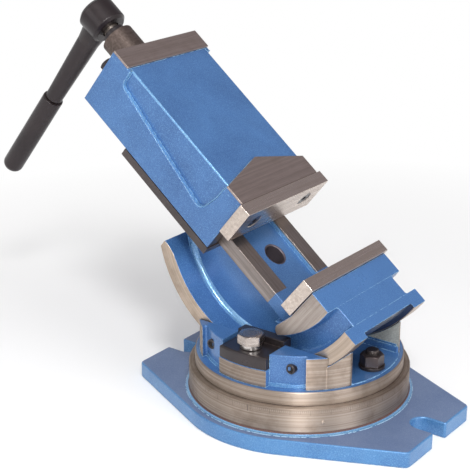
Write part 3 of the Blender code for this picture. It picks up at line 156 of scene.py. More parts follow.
@dataclass
class Shell:
    """Points, faces and the finish number of each face."""

    points: Array
    faces: list[list[int]]
    finish: Array = field(default_factory=lambda: np.zeros(0, int))

    def __post_init__(self) -> None:
        """Gives every face finish 0 where none is named."""
        if len(self.finish) != len(self.faces):
            self.finish = np.zeros(len(self.faces), int)

    def __add__(self, other: "Shell") -> "Shell":
        """Both shells as one, with the other's faces renumbered.

        Args:
            other: The shell that comes second.

        Returns:
            The joined shell.
        """
        renumbered = [[i + len(self.points) for i in face] for face in other.faces]
        return Shell(
            np.concatenate([self.points, other.points]),
            self.faces + renumbered,
            np.concatenate([self.finish, other.finish]),
        )

    def corners(self) -> tuple[Array, Array, Array, Array]:
        """The corners of all faces in one row, face after face.

        Returns:
            Each corner's point, the point that follows it round its face, the place
            in the row where each face starts, and the number of each face's corners.
        """
        sizes = np.array([len(face) for face in self.faces])
        row = np.concatenate([np.array(face) for face in self.faces])
        starts = np.concatenate([[0], np.cumsum(sizes)[:-1]])
        following = np.roll(row, -1)
        following[starts + sizes - 1] = row[starts]
        return row, following, starts, sizes

    def measures(self) -> tuple[Array, Array]:
        """Face centres, and face normals by the sum of the cross products along the edges.

        Returns:
            Centres and unit normals, one row for each face.
        """
        row, following, starts, sizes = self.corners()
        here, after = self.points[row], self.points[following]
        centres = np.add.reduceat(here, starts, axis=0) / sizes[:, None]
        normals = np.add.reduceat(np.cross(here, after), starts, axis=0)
        return centres, normals / np.maximum(np.linalg.norm(normals, axis=1, keepdims=True), 1e-20)

    def outward(self) -> "Shell":
        """Turns all faces round if the volume inside them comes out negative.

        The volume is the sum of a . (b x c) over fans of triangles from each face's first corner.

        Returns:
            The shell itself.
        """
        row, following, starts, sizes = self.corners()
        apex = np.repeat(row[starts], sizes)
        a, b, c = self.points[apex], self.points[row], self.points[following]
        if np.einsum("ij,ij->", a, np.cross(b, c)) < 0:
            self.faces = [face[::-1] for face in self.faces]
        return self

    def dressed(self, number: int, where: Rule | None = None) -> "Shell":
        """Gives finish ``number`` to the faces that ``where`` picks.

        Args:
            number: Place of the finish in the piece's list.
            where: Takes centres and normals and returns a mask; all faces when None.

        Returns:
            The shell itself.
        """
        mask = np.ones(len(self.faces), bool) if where is None else where(*self.measures())
        self.finish = np.where(mask, number, self.finish)
        return self

    def without(self, gone: Sequence[int]) -> "Shell":
        """A copy that lacks the faces with these numbers."""
        kept = np.setdiff1d(np.arange(len(self.faces)), gone)
        return Shell(self.points, [self.faces[i] for i in kept], self.finish[kept])

    def trimmed(self) -> "Shell":
        """A copy without the points that no face uses.

        Returns:
            The copy, with its points renumbered.
        """
        corners = self.corners()
        used, place = np.unique(corners[0], return_inverse=True)
        faces = [part.tolist() for part in np.split(place.ravel(), corners[2][1:])]
        return Shell(self.points[used], faces, self.finish)

    def turned(self, degrees: float) -> "Shell":
        """A copy turned about the z axis.

        Args:
            degrees: The turn, anticlockwise seen from above.

        Returns:
            The copy.
        """
        c, s = math.cos(math.radians(degrees)), math.sin(math.radians(degrees))
        turn = np.array([[c, s, 0.0], [-s, c, 0.0], [0.0, 0.0, 1.0]])
        return Shell(self.points @ turn, self.faces, self.finish.copy())

    def mirrored(self, axis: int) -> "Shell":
        """A copy mirrored across one axis, with its faces turned back outwards.

        Args:
            axis: The axis whose sign changes: 0, 1 or 2.

        Returns:
            The copy.
        """
        sign = np.ones(3)
        sign[axis] = -1
        return Shell(self.points * sign, [face[::-1] for face in self.faces], self.finish.copy())

    def both(self, axis: int) -> "Shell":
        """The shell together with its mirror image across one axis."""
        return self + self.mirrored(axis)


def off_axis(points: Array, axis: int = 2) -> Array:
    """Distance of points from an axis: the root of the other two coordinates' squares, added."""
    first, second = [i for i in range(3) if i != axis]
    return np.hypot(points[:, first], points[:, second])


def turn_at(reach: float, radius: float) -> float:
    """The angle in degrees at which a circle has x = reach: acos(reach / radius)."""
    return math.degrees(math.acos(reach / radius))


def rise_at(height: float, radius: float) -> float:
    """The angle in degrees at which a circle has y = height: asin(height / radius)."""
    return math.degrees(math.asin(height / radius))


def level(height: float) -> Rule:
    """A level surface: the same height at all places."""
    return lambda first, second: np.full_like(first, height)


def skin(grid: Array, ring: bool = False) -> Shell:
    """Quads over a grid of points whose columns close on themselves.

    Args:
        grid: Points as (rows, columns, 3).
        ring: Joins the last row to the first, as on a washer, in place of a face on each.

    Returns:
        A closed shell that faces outwards.
    """
    rows, columns = grid.shape[:2]
    index = np.arange(rows * columns).reshape(rows, columns)
    low, high = (index, np.roll(index, -1, 0)) if ring else (index[:-1], index[1:])
    quads = np.stack([low, np.roll(low, -1, 1), np.roll(high, -1, 1), high], -1).reshape(-1, 4)
    faces = quads.tolist()
    if not ring:
        faces += [index[0][::-1].tolist(), index[-1].tolist()]
    return Shell(grid.reshape(-1, 3), faces).outward()


def arc(radius: float, start: float, end: float, steps: int = 24, centre: Pair = (0.0, 0.0)) -> Array:
    """Points of an arc: centre + radius (cos t, sin t), with t in degrees."""
    t = np.radians(np.linspace(start, end, steps + 1))
    return np.stack([np.cos(t), np.sin(t)], 1) * radius + np.array(centre)


def eased(outline: Sequence[Pair] | Array, radii: Sequence[float] | float, steps: int = 5) -> Array:
    """Rounds the corners of an outline by true arcs.

    Each corner becomes the rational curve ((1-t)^2 A + 2 w t (1-t) C + t^2 B)
    over its own weights, where A and B are the tangent points, C the corner
    and w the cosine of half the turn, which is an exact circle.

    Args:
        outline: The corners, in order.
        radii: One radius for all corners or one for each, 0 to keep it sharp.
        steps: Parts of each arc.

    Returns:
        The rounded outline.
    """
    corner = np.asarray(outline, float)
    radius = np.broadcast_to(np.asarray(radii, float), (len(corner),))
    back = np.roll(corner, 1, 0) - corner
    ahead = np.roll(corner, -1, 0) - corner
    back /= np.linalg.norm(back, axis=1, keepdims=True)
    ahead /= np.linalg.norm(ahead, axis=1, keepdims=True)
    half = np.arccos(np.clip((back * ahead).sum(1), -1, 1)) / 2
    reach = radius / np.maximum(np.tan(half), 1e-6)
    start, end = corner + back * reach[:, None], corner + ahead * reach[:, None]
    weight = np.sin(half)[:, None, None]
    t = np.linspace(0, 1, steps + 1)[None, :, None]
    parts = ((1 - t) ** 2, 2 * weight * t * (1 - t), t**2)
    points = parts[0] * start[:, None] + parts[1] * corner[:, None] + parts[2] * end[:, None]
    points = (points / sum(parts)).reshape(-1, 2)
    return points[np.linalg.norm(points - np.roll(points, 1, 0), axis=1) > 1e-7]


def insets(outline: Array, depths: Array) -> Array:
    """The outline moved inwards along each corner's mitre.

    Args:
        outline: Points as (count, 2), either way round.
        depths: How far each copy is moved in.

    Returns:
        The copies as (depths, count, 2).
    """
    following = np.roll(outline, -1, 0)
    area = (outline[:, 0] * following[:, 1] - outline[:, 1] * following[:, 0]).sum()
    edge = following - outline
    edge /= np.maximum(np.linalg.norm(edge, axis=1, keepdims=True), 1e-12)
    normal = np.stack([edge[:, 1], -edge[:, 0]], 1) * np.sign(area)
    before = np.roll(normal, 1, 0)
    mitre = (normal + before) / np.maximum(1 + (normal * before).sum(1, keepdims=True), 0.25)
    return outline[None] - mitre[None] * depths[:, None, None]


def rim_rows(span: Pair, low_round: float, high_round: float, steps: int) -> tuple[Array, Array]:
    """Heights and insets up a wall whose rims are quarter circles.

    At angle a the rim stands r (1 - cos a) from the end and r (1 - sin a) in.

    Args:
        span: Lowest and highest height.
        low_round: Radius of the low rim.
        high_round: Radius of the high rim.
        steps: Parts of each rim.

    Returns:
        The heights and the insets, one for each row.
    """
    a = np.linspace(0, np.pi / 2, steps + 1)
    none = np.zeros(1)
    rise, inset = (1 - np.cos(a), 1 - np.sin(a)) if low_round else (none, none)
    fall, outset = (1 - np.cos(a[::-1]), 1 - np.sin(a[::-1])) if high_round else (none, none)
    heights = np.concatenate([span[0] + low_round * rise, span[1] - high_round * fall])
    return heights, np.concatenate([low_round * inset, high_round * outset])


def prism(
    outline: Array,
    span: Pair,
    plane: Plane = Plane.XY,
    low: float = 0.0,
    high: float = 0.0,
    steps: int = 4,
) -> Shell:
    """An outline carried straight along the third axis, with rounded rims.

    Args:
        outline: The outline's points in the plane.
        span: From where to where it is carried.
        plane: The plane of the outline.
        low: Radius of the rim at the lower end.
        high: Radius of the rim at the higher end.
        steps: Parts of each rim.

    Returns:
        A closed shell.
    """
    heights, depths = rim_rows(span, low, high, steps)
    flat = insets(np.asarray(outline, float), depths)
    grid = np.empty(flat.shape[:2] + (3,))
    grid[..., plane.value[0]] = flat[..., 0]
    grid[..., plane.value[1]] = flat[..., 1]
    grid[..., plane.value[2]] = heights[:, None]
    return skin(grid)


def lathe(
    profile: Sequence[Pair] | Array,
    axis: int = 2,
    centre: Pair = (0.0, 0.0),
    steps: int = 96,
    ring: bool = False,
    limit: Rule | None = None,
) -> Shell:
    """A profile turned about an axis: centre + r (cos t, sin t) at height h.

    Args:
        profile: Rows of radius and height, in order.
        axis: The axis that it turns about: 0, 1 or 2.
        centre: Where the axis stands in the other two.
        steps: Parts of the full turn.
        ring: True where the profile is closed, as on a washer.
        limit: Takes radii and angles and returns the radii, to cut flats or a thread.

    Returns:
        A closed shell.
    """
    rows = np.asarray(profile, float)
    t = np.linspace(0, 2 * np.pi, steps, endpoint=False)[None]
    radius = np.broadcast_to(rows[:, :1], (len(rows), steps))
    radius = radius if limit is None else limit(radius, t)
    across = [i for i in range(3) if i != axis]
    grid = np.empty((len(rows), steps, 3))
    grid[..., across[0]] = centre[0] + radius * np.cos(t)
    grid[..., across[1]] = centre[1] + radius * np.sin(t)
    grid[..., axis] = rows[:, 1:]
    return skin(grid, ring=ring)


def flats(across: float, rows: slice = slice(None)) -> Rule:
    """A limit for ``lathe`` that cuts a hexagon's flats.

    The radius is at most half the distance across flats, over the cosine of
    the angle from the flat's middle.

    Args:
        across: Distance across flats.
        rows: The rows that are cut.

    Returns:
        The limit, for ``lathe``.
    """

    def limit(radius: Array, t: Array) -> Array:
        """The smaller of the turned radius and the flat's.

        Args:
            radius: Turned radii, one row for each height.
            t: The angles.

        Returns:
            The radii with the flats.
        """
        part = 2 * np.pi / 6
        off = (t + part / 2) % part - part / 2
        cut = radius.copy()
        cut[rows] = np.minimum(radius[rows], across / 2 / np.cos(off))
        return cut

    return limit


def rounded_profile(profile: Sequence[Pair], radius: float, steps: int = 3) -> Array:
    """An open profile whose inner corners are rounded.

    Args:
        profile: Rows of radius and height, in order.
        radius: Radius of all corners but the first and last row.
        steps: Parts of each arc.

    Returns:
        The rounded profile.
    """
    outline = np.asarray(profile, float)
    radii = np.full(len(outline), radius)
    radii[[0, -1]] = 0.0
    return eased(outline, radii, steps)


def bar(x: Array, y: tuple, z: tuple, corner: float, end: float) -> Shell:
    """Rounded rectangles carried along x, whose sides may follow curves.

    At each x the section runs from y[0] to y[1] and from z[0] to z[1], and the
    ends draw in by a quarter circle.

    Args:
        x: Where the sections stand, in rising order.
        y: Low and high side, each a number or an array over x.
        z: Low and high side, as y.
        corner: Radius of the long edges.
        end: Radius of the end edges.

    Returns:
        A closed shell.
    """
    a = np.linspace(0, np.pi / 2, 4)
    draw = end * (1 - np.sin(a))
    slide = end * (1 - np.cos(a))
    place = np.concatenate([x[0] + slide, x[1:-1], (x[-1] - slide)[::-1]])
    inset = np.concatenate([draw, np.zeros(len(x) - 2), draw[::-1]])
    sides = [np.interp(place, x, np.broadcast_to(np.asarray(side, float), x.shape)) for side in (*y, *z)]
    low_y, high_y, low_z, high_z = (side[:, None] for side in sides)
    angle = (np.arange(4)[:, None] * np.pi / 2 + a[None]).ravel()[None]
    middle = np.repeat(np.arange(4) * np.pi / 2 + np.pi / 4, len(a))[None]
    sign_y, sign_z = np.sign(np.cos(middle)), np.sign(np.sin(middle))
    least = corner * 0.3
    radius = np.maximum(corner - inset, least)[:, None]
    half_y = (high_y - low_y) / 2 - inset[:, None]
    half_z = (high_z - low_z) / 2 - inset[:, None]
    grid = np.empty((len(place), angle.shape[1], 3))
    grid[..., 0] = place[:, None]
    grid[..., 1] = (high_y + low_y) / 2 + sign_y * (half_y - radius) + radius * np.cos(angle)
    grid[..., 2] = (high_z + low_z) / 2 + sign_z * (half_z - radius) + radius * np.sin(angle)
    return skin(grid)


def cove(path: Array, up: Triple, radius: float, inward: float = 1.0, steps: int = 5) -> Shell:
    """The fillet that a mould leaves in an inner corner, along a path.

    The section has the corner at (0, 0), a foot on each side and the concave
    arc r (1 - cos a), r (1 - sin a) between them.

    Args:
        path: Points along the corner, as (count, 3), in one plane.
        up: The direction of the wall that the fillet climbs.
        radius: Its radius.
        inward: 1 or -1, the side of the path that the floor lies on.
        steps: Parts of the arc.

    Returns:
        A closed shell.
    """
    a = np.linspace(0, np.pi / 2, steps + 1)
    sink = 0.0006
    floor = np.concatenate([[-sink, radius], radius * (1 - np.sin(a[1:-1])), [0.0, -sink]])
    wall = np.concatenate([[-sink, -sink], radius * (1 - np.cos(a[1:-1])), [radius, radius]])
    tangent = np.gradient(path, axis=0)
    tangent /= np.linalg.norm(tangent, axis=1, keepdims=True)
    climb = np.asarray(up, float)
    side = np.cross(climb[None], tangent) * inward
    side /= np.linalg.norm(side, axis=1, keepdims=True)
    grid = path[:, None] + side[:, None] * floor[None, :, None] + climb * wall[None, :, None]
    return skin(grid)


def walked(outline: Array, parts: Sequence[int]) -> Array:
    """An outline whose long edges are split evenly, each into its own number of parts.

    Args:
        outline: Points as (count, 2).
        parts: Parts of the longest edges, from the longest down; the rest stay whole.

    Returns:
        The outline with the added points.
    """
    following = np.roll(outline, -1, 0)
    longest = np.argsort(-np.linalg.norm(following - outline, axis=1), kind="stable")
    split = np.ones(len(outline), int)
    split[longest[: len(parts)]] = parts
    start = np.repeat(np.arange(len(outline)), split)
    share = (np.arange(split.sum()) - np.repeat(np.cumsum(split) - split, split)) / split[start]
    return outline[start] + (following - outline)[start] * share[:, None]


def bored(
    shell: Shell,
    loop: Sequence[int],
    across: tuple[int, int],
    centre: Pair,
    surface: Rule,
    profile: Sequence[Pair],
    finishes: tuple[int, int] = (0, 0),
    outer: float = 1.0,
    spread: int = 5,
) -> Shell:
    """Closes an open patch of a shell by a surface with a round hole in it.

    From the loop to the hole's lip a point moves straight, share s of the way.
    After that it is at centre + r (cos t, sin t), depth d under the surface,
    where t is the angle at which the loop's point is seen from the centre.

    Args:
        shell: The shell, whose faces inside the loop are gone.
        loop: The points round the patch, in order.
        across: The two axes along the surface.
        centre: Middle of the hole in those axes.
        surface: Gives the third coordinate from the two.
        profile: Rows of radius and depth, from the lip to the floor.
        finishes: Finish of the surface and of the hole.
        outer: 1 or -1, the way in which the surface looks along the third axis.
        spread: Parts between the loop and the lip.

    Returns:
        The closed shell.
    """
    base = shell.points[list(loop)][:, list(across)]
    t = np.arctan2(base[:, 1] - centre[1], base[:, 0] - centre[0])
    ring = np.stack([np.cos(t), np.sin(t)], 1)
    rows = np.asarray(profile, float)
    share = np.linspace(0, 1, spread + 1)[1:-1, None, None]
    sides = np.array(centre) + rows[:, 0, None, None] * ring
    flat = np.concatenate([(1 - share) * base + share * sides[0], sides])
    depth = np.concatenate([np.zeros(spread - 1), rows[:, 1]])[:, None]
    grid = np.empty(flat.shape[:2] + (3,))
    grid[..., across[0]], grid[..., across[1]] = flat[..., 0], flat[..., 1]
    grid[..., 3 - sum(across)] = surface(flat[..., 0], flat[..., 1]) - outer * depth
    count = flat.shape[0] * flat.shape[1]
    index = len(shell.points) + np.arange(count).reshape(flat.shape[:2])
    index = np.concatenate([np.array(loop)[None], index])
    low, high = index[:-1], index[1:]
    quads = np.stack([low, np.roll(low, -1, 1), np.roll(high, -1, 1), high], -1).reshape(-1, 4)
    patch = Shell(np.concatenate([shell.points, grid.reshape(-1, 3)]), quads.tolist() + [index[-1].tolist()])
    flatter = len(loop) * (spread - 1)
    if patch.measures()[1][:flatter, 3 - sum(across)].sum() * outer < 0:
        patch.faces = [face[::-1] for face in patch.faces]
    number = np.where(np.arange(len(patch.faces)) < flatter + len(loop), finishes[0], finishes[1])
    return Shell(patch.points, shell.faces + patch.faces, np.concatenate([shell.finish, number]))


# Finishes


class Wiring:
    """Adds nodes to one tree and joins them."""

    def __init__(self, tree: bpy.types.NodeTree) -> None:
        """Keeps the tree."""
        self.tree = tree

    def add(self, kind: str, inputs: dict | None = None, **settings: object) -> Node:
        """Adds a node, sets its properties, and sets or joins its inputs.

        Args:
            kind: The node's type, without its "ShaderNode" prefix.
            inputs: Input names or numbers with a value or a socket for each.
            settings: Properties of the node.

        Returns:
            The node.
        """
        node = self.tree.nodes.new(kind if kind.startswith("Node") else "ShaderNode" + kind)
        for name, value in settings.items():
            setattr(node, name, value)
        for name, value in (inputs or {}).items():
            if isinstance(value, Socket):
                self.join(value, node, name)
            else:
                node.inputs[name].default_value = value
        return node

    def join(self, socket: Socket, node: Node, name: str | int) -> None:
        """Joins a socket to one of a node's inputs."""
        self.tree.links.new(socket, node.inputs[name])

    def maths(self, operation: str, *values: object) -> Socket:
        """The result of a Math node."""
        return self.add("Math", dict(enumerate(values)), operation=operation).outputs[0]

    def mix(self, share: object, first: object, second: object) -> Socket:
        """A colour mixed from two by a share.

        The Mix node's colours are its inputs 6 and 7 and its output 2.

        Args:
            share: Share of the second colour.
            first: The colour at share 0.
            second: The colour at share 1.

        Returns:
            The mixed colour.
        """
        return self.add("Mix", {0: share, 6: first, 7: second}, data_type="RGBA").outputs[2]

    def spread(self, value: object, low: float, high: float, to: Pair = (0.0, 1.0)) -> Socket:
        """A value mapped from one range to another and held inside it."""
        names = {"Value": value, "From Min": low, "From Max": high, "To Min": to[0], "To Max": to[1]}
        return self.add("MapRange", names, clamp=True).outputs[0]

    def noise(self, vector: object, scale: object, detail: float = 3.0, rough: float = 0.55) -> Socket:
        """The factor of a Noise Texture."""
        inputs = {"Vector": vector, "Scale": scale, "Detail": detail, "Roughness": rough}
        return self.add("TexNoise", inputs).outputs[0]

    def effect(self, name: str, inputs: dict) -> Node:
        """A placed effect group with its inputs set; its first use builds the group."""
        tree = bpy.data.node_groups.get(name) or EFFECTS[name]()
        return self.add("Group", inputs, node_tree=tree)


def group(name: str, floats: Sequence[str], outputs: Sequence[str]) -> tuple[Wiring, Node, Node]:
    """Starts an effect group that takes a Vector and named floats.

    Args:
        name: The group's name.
        floats: Names of the float inputs.
        outputs: Names of the float outputs.

    Returns:
        The wiring of its tree, its input node and its output node.
    """
    tree = bpy.data.node_groups.new(name, "ShaderNodeTree")
    tree.interface.new_socket("Vector", in_out="INPUT", socket_type="NodeSocketVector")
    for way, keys in (("INPUT", floats), ("OUTPUT", outputs)):
        for key in keys:
            tree.interface.new_socket(key, in_out=way, socket_type="NodeSocketFloat")
    return Wiring(tree), tree.nodes.new("NodeGroupInput"), tree.nodes.new("NodeGroupOutput")


def edge_wear_and_glint() -> bpy.types.NodeTree:
    """Mask of outer edges, for wear and for painted highlights: how far the bevelled normal leans from the
    true one, broken up by noise.

    Returns:
        The group, with Vector, Radius and Amount in and Mask out.
    """
    w, given, out = group("edge_wear_and_glint", ["Radius", "Amount"], ["Mask"])
    bevel = w.add("Bevel", {"Radius": given.outputs["Radius"]}, samples=4)
    true = w.add("NewGeometry").outputs["Normal"]
    dot = w.add("VectorMath", {0: bevel.outputs[0], 1: true}, operation="DOT_PRODUCT").outputs["Value"]
    lean = w.maths("SUBTRACT", 1.0, dot)
    edge_breakup = w.spread(w.noise(given.outputs["Vector"], 260.0), 0.42, 0.62, (0.1, 2.2))
    strength = w.maths("MULTIPLY", w.maths("MULTIPLY", lean, edge_breakup), given.outputs["Amount"])
    w.join(w.spread(strength, 0.04, 0.30), out, "Mask")
    return w.tree


def cast_skin() -> bpy.types.NodeTree:
    """Height of paint over sand-cast iron, slow changes of its tone, and fine flecks.

    Returns:
        The group, with Vector and Grain in and Height, Tone and Fleck out.
    """
    w, given, out = group("cast_skin", ["Grain"], ["Height", "Tone", "Fleck"])
    vector = given.outputs["Vector"]
    fine = w.noise(vector, given.outputs["Grain"], 2.0, 0.5)
    lumps = w.noise(vector, 90.0, 2.0)
    w.join(w.maths("ADD", w.maths("MULTIPLY", fine, 0.6), w.maths("MULTIPLY", lumps, 0.7)), out, "Height")
    w.join(w.spread(w.noise(vector, 22.0, 4.0, 0.6), 0.3, 0.7), out, "Tone")
    w.join(w.spread(w.noise(vector, 1500.0, 1.0), 0.35, 0.68), out, "Fleck")
    return w.tree


def tool_marks() -> bpy.types.NodeTree:
    """Height and shade of cutter marks on coordinates that are already stretched across the marks.

    Returns:
        The group, with Vector and Pitch in and Height and Shade out.
    """
    w, given, out = group("tool_marks", ["Pitch"], ["Height", "Shade"])
    vector, pitch = given.outputs["Vector"], given.outputs["Pitch"]
    fine = w.noise(vector, pitch, 3.0, 0.65)
    wide = w.noise(vector, w.maths("MULTIPLY", pitch, 0.16), 2.0, 0.5)
    both = w.maths("ADD", fine, wide)
    w.join(both, out, "Height")
    w.join(w.spread(both, 0.8, 1.2), out, "Shade")
    return w.tree


def settled_dirt() -> bpy.types.NodeTree:
    """Mask of painted shade in inner corners, where ambient occlusion is strong, and of dirt and oil in thin
    patches.

    Returns:
        The group, with Vector, Reach and Patches in and Mask out.
    """
    w, given, out = group("settled_dirt", ["Reach", "Patches"], ["Mask"])
    vector = given.outputs["Vector"]
    open_sky = w.add("AmbientOcclusion", {"Distance": given.outputs["Reach"]}, samples=6).outputs["AO"]
    # Painted shade: stronger where ambient occlusion finds nearby surfaces
    corner = w.spread(open_sky, 0.78, 0.25)
    cloud = w.spread(w.noise(vector, 38.0, 5.0, 0.62), 0.50, 0.72)
    patch = w.maths("MULTIPLY", cloud, given.outputs["Patches"])
    broken_corner_shade = w.maths("MULTIPLY", corner, w.spread(w.noise(vector, 160.0), 0.3, 0.6, (0.5, 1.0)))
    w.join(w.maths("MAXIMUM", broken_corner_shade, patch), out, "Mask")
    return w.tree


EFFECTS = {make.__name__: make for make in (edge_wear_and_glint, cast_skin, tool_marks, settled_dirt)}


@dataclass(frozen=True)
class Finish:
    """A surface finish, with colours in linear light and the grain's depth in metres.

    From shade to colour the roughness falls from roughness + swing[0] to
    roughness - swing[1]. The mask of dirt and painted corner shade adds dirt_rough to it.
    """

    name: str
    colour: Triple
    shade: Triple
    roughness: float
    metallic: float
    slot: Slot
    depth: float = 0.0001
    swing: Pair = (0.06, 0.04)
    dirt_rough: float = 0.2

    def material(self, axes: Axes) -> bpy.types.Material:
        """The finish as a material on coordinates of the given axes, made once.

        Args:
            axes: The axes that the pattern lies in.

        Returns:
            The material.
        """
        key = f"{self.name}{axes}"
        for known in bpy.data.materials:
            if known.get("finish_key") == key:
                return known
        material = bpy.data.materials.new(self.name)
        material["finish_key"] = key
        material.use_nodes = True
        material.node_tree.nodes.clear()
        w = Wiring(material.node_tree)
        place = w.add("TexCoord").outputs["Object"]
        mapping = w.add("Mapping", {"Vector": place}, vector_type="TEXTURE")
        mapping.inputs["Location"].default_value = axes.origin
        mapping.inputs["Rotation"].default_value = (0.0, math.radians(axes.tilt), 0.0)
        shader = w.add("BsdfPrincipled", {"Metallic": self.metallic})
        self.wire(w, mapping.outputs[0], shader)
        out = w.add("OutputMaterial", {"Surface": shader.outputs[0]})
        out.is_active_output = True
        material.diffuse_color = (*self.colour, 1.0)
        return material

    def wire(self, w: Wiring, vector: Socket, shader: Node) -> None:
        """Joins the finish's own nodes to the shader."""
        raise NotImplementedError

    def dress(
        self, w: Wiring, shader: Node, colour: Socket, tone: Socket, dirt: Socket, height: Socket
    ) -> None:
        """Joins a colour, a roughness and a bump to the shader.

        Args:
            w: The tree's wiring.
            shader: The Principled shader.
            colour: The colour.
            tone: The tone, from 0 to 1.
            dirt: The mask of dirt and of painted shade in corners.
            height: The height of the grain, as a share of the depth.
        """
        low, high = self.swing
        clean = w.spread(tone, 0.0, 1.0, (self.roughness + low, self.roughness - high))
        rough = w.maths("ADD", clean, w.maths("MULTIPLY", dirt, self.dirt_rough))
        bump = w.add("Bump", {"Height": height, "Strength": 1.0, "Distance": self.depth})
        w.join(colour, shader, "Base Color")
        w.join(rough, shader, "Roughness")
        w.join(bump.outputs[0], shader, "Normal")


@dataclass(frozen=True)
class Enamel(Finish):
    """Thick glossy paint over cast iron, with flecks in light and a painted highlight in edge along its
    edges.
    """

    slot: Slot = Slot.PAINT
    light: Triple = (0.16, 0.34, 0.62)
    # Colour of the painted highlight along edges
    edge: Triple = (0.36, 0.62, 0.82)
    depth: float = 0.00012
    grain: float = 900.0
    coat: float = 0.35
    # On enamel this sets how strong the painted edge highlight is
    wear_and_glint: float = 1.0
    # How strongly painted corner shade and dirt darken the paint
    dirt: float = 0.4

    def wire(self, w: Wiring, vector: Socket, shader: Node) -> None:
        """Tone from the cast skin, painted shade in corners with a little dirt in patches, and a painted
        highlight along edges.

        Args:
            w: The tree's wiring.
            vector: Coordinates in the piece's axes.
            shader: The Principled shader.
        """
        cast = w.effect("cast_skin", {"Vector": vector, "Grain": self.grain})
        dirt = w.effect("settled_dirt", {"Vector": vector, "Reach": 0.005, "Patches": 0.12})
        wear_glint = w.effect("edge_wear_and_glint", {"Vector": vector, "Radius": 0.0011, "Amount": self.wear_and_glint})
        tone = w.mix(cast.outputs["Tone"], (*self.shade, 1), (*self.colour, 1))
        speck = w.mix(w.spread(cast.outputs["Fleck"], 0.45, 1.0, (0.0, 0.55)), tone, (*self.light, 1))
        # Painted shade in corners and a little dirt in patches, towards a near-black blue
        dirtied_and_shaded = w.mix(w.maths("MULTIPLY", dirt.outputs[0], self.dirt), speck, (0.030, 0.034, 0.052, 1))
        # Painted highlight along edges, in the colour edge
        colour = w.mix(wear_glint.outputs[0], dirtied_and_shaded, (*self.edge, 1))
        self.dress(w, shader, colour, cast.outputs["Tone"], dirt.outputs[0], cast.outputs["Height"])
        shader.inputs["Coat Weight"].default_value = self.coat
        shader.inputs["Coat Roughness"].default_value = 0.14


@dataclass(frozen=True)
class Cut(Finish):
    """Bare metal left by a cutter or a grinding wheel.

    The noise's scale, per metre, is across at right angles to the marks and along on them.
    """

    slot: Slot = Slot.MACHINED
    depth: float = 0.00002
    swing: Pair = (0.07, 0.05)
    dirt_rough: float = 0.22
    lay: Lay = Lay.MILLED_X
    pitch: float = 1.0
    across: float = 2600.0
    along: float = 45.0
    stain: float = 0.35
    # Colour of stains, also used as painted shade in corners
    stain_and_shade_colour: Triple = (0.16, 0.11, 0.08)
    wear_and_glint: float = 0.6
    brush: float = 0.0

    def marks(self, w: Wiring, vector: Socket) -> Socket:
        """Coordinates stretched so that noise on them runs in the cutter's direction.

        Turned work takes the radius and the place along the axis, milled work
        scales the axis that the streaks follow far less than the other two.

        Args:
            w: The tree's wiring.
            vector: Coordinates in the piece's axes.

        Returns:
            The stretched coordinates.
        """
        way, axis = self.lay.value
        if way == "milled":
            scale = [self.across] * 3
            scale[axis] = self.along
            return w.add("Mapping", {"Vector": vector, "Scale": tuple(scale)}).outputs[0]
        parts = w.add("SeparateXYZ", {0: vector}).outputs
        first, second = [parts[i] for i in range(3) if i != axis]
        square = w.maths("ADD", w.maths("MULTIPLY", first, first), w.maths("MULTIPLY", second, second))
        radius = w.maths("MULTIPLY", w.maths("SQRT", square), self.across)
        height = w.maths("MULTIPLY", parts[axis], self.across)
        drift = w.maths("MULTIPLY", first, self.along * 0.3)
        return w.add("CombineXYZ", {0: radius, 1: height, 2: drift}).outputs[0]

    def wire(self, w: Wiring, vector: Socket, shader: Node) -> None:
        """Marks in height and shade, brown stain in patches and as painted shade in corners, bright rubbed
        edges.

        Where brush is set, reflections are drawn out as on work that was turned about z.

        Args:
            w: The tree's wiring.
            vector: Coordinates in the piece's axes.
            shader: The Principled shader.
        """
        mark = w.effect("tool_marks", {"Vector": self.marks(w, vector), "Pitch": self.pitch})
        dirt = w.effect("settled_dirt", {"Vector": vector, "Reach": 0.005, "Patches": self.stain})
        wear_glint = w.effect("edge_wear_and_glint", {"Vector": vector, "Radius": 0.0006, "Amount": self.wear_and_glint})
        tone = w.mix(mark.outputs["Shade"], (*self.shade, 1), (*self.colour, 1))
        # Stain in patches and painted shade in corners
        stained_and_shaded = w.mix(w.maths("MULTIPLY", dirt.outputs[0], 0.8), tone, (*self.stain_and_shade_colour, 1))
        bright = tuple(min(1.0, c * 1.25) for c in self.colour)
        colour = w.mix(wear_glint.outputs[0], stained_and_shaded, (*bright, 1))
        self.dress(w, shader, colour, mark.outputs["Shade"], dirt.outputs[0], mark.outputs["Height"])
        if self.brush:
            w.join(w.add("CombineXYZ", {2: 1.0}).outputs[0], shader, "Tangent")
            shader.inputs["Anisotropic"].default_value = self.brush


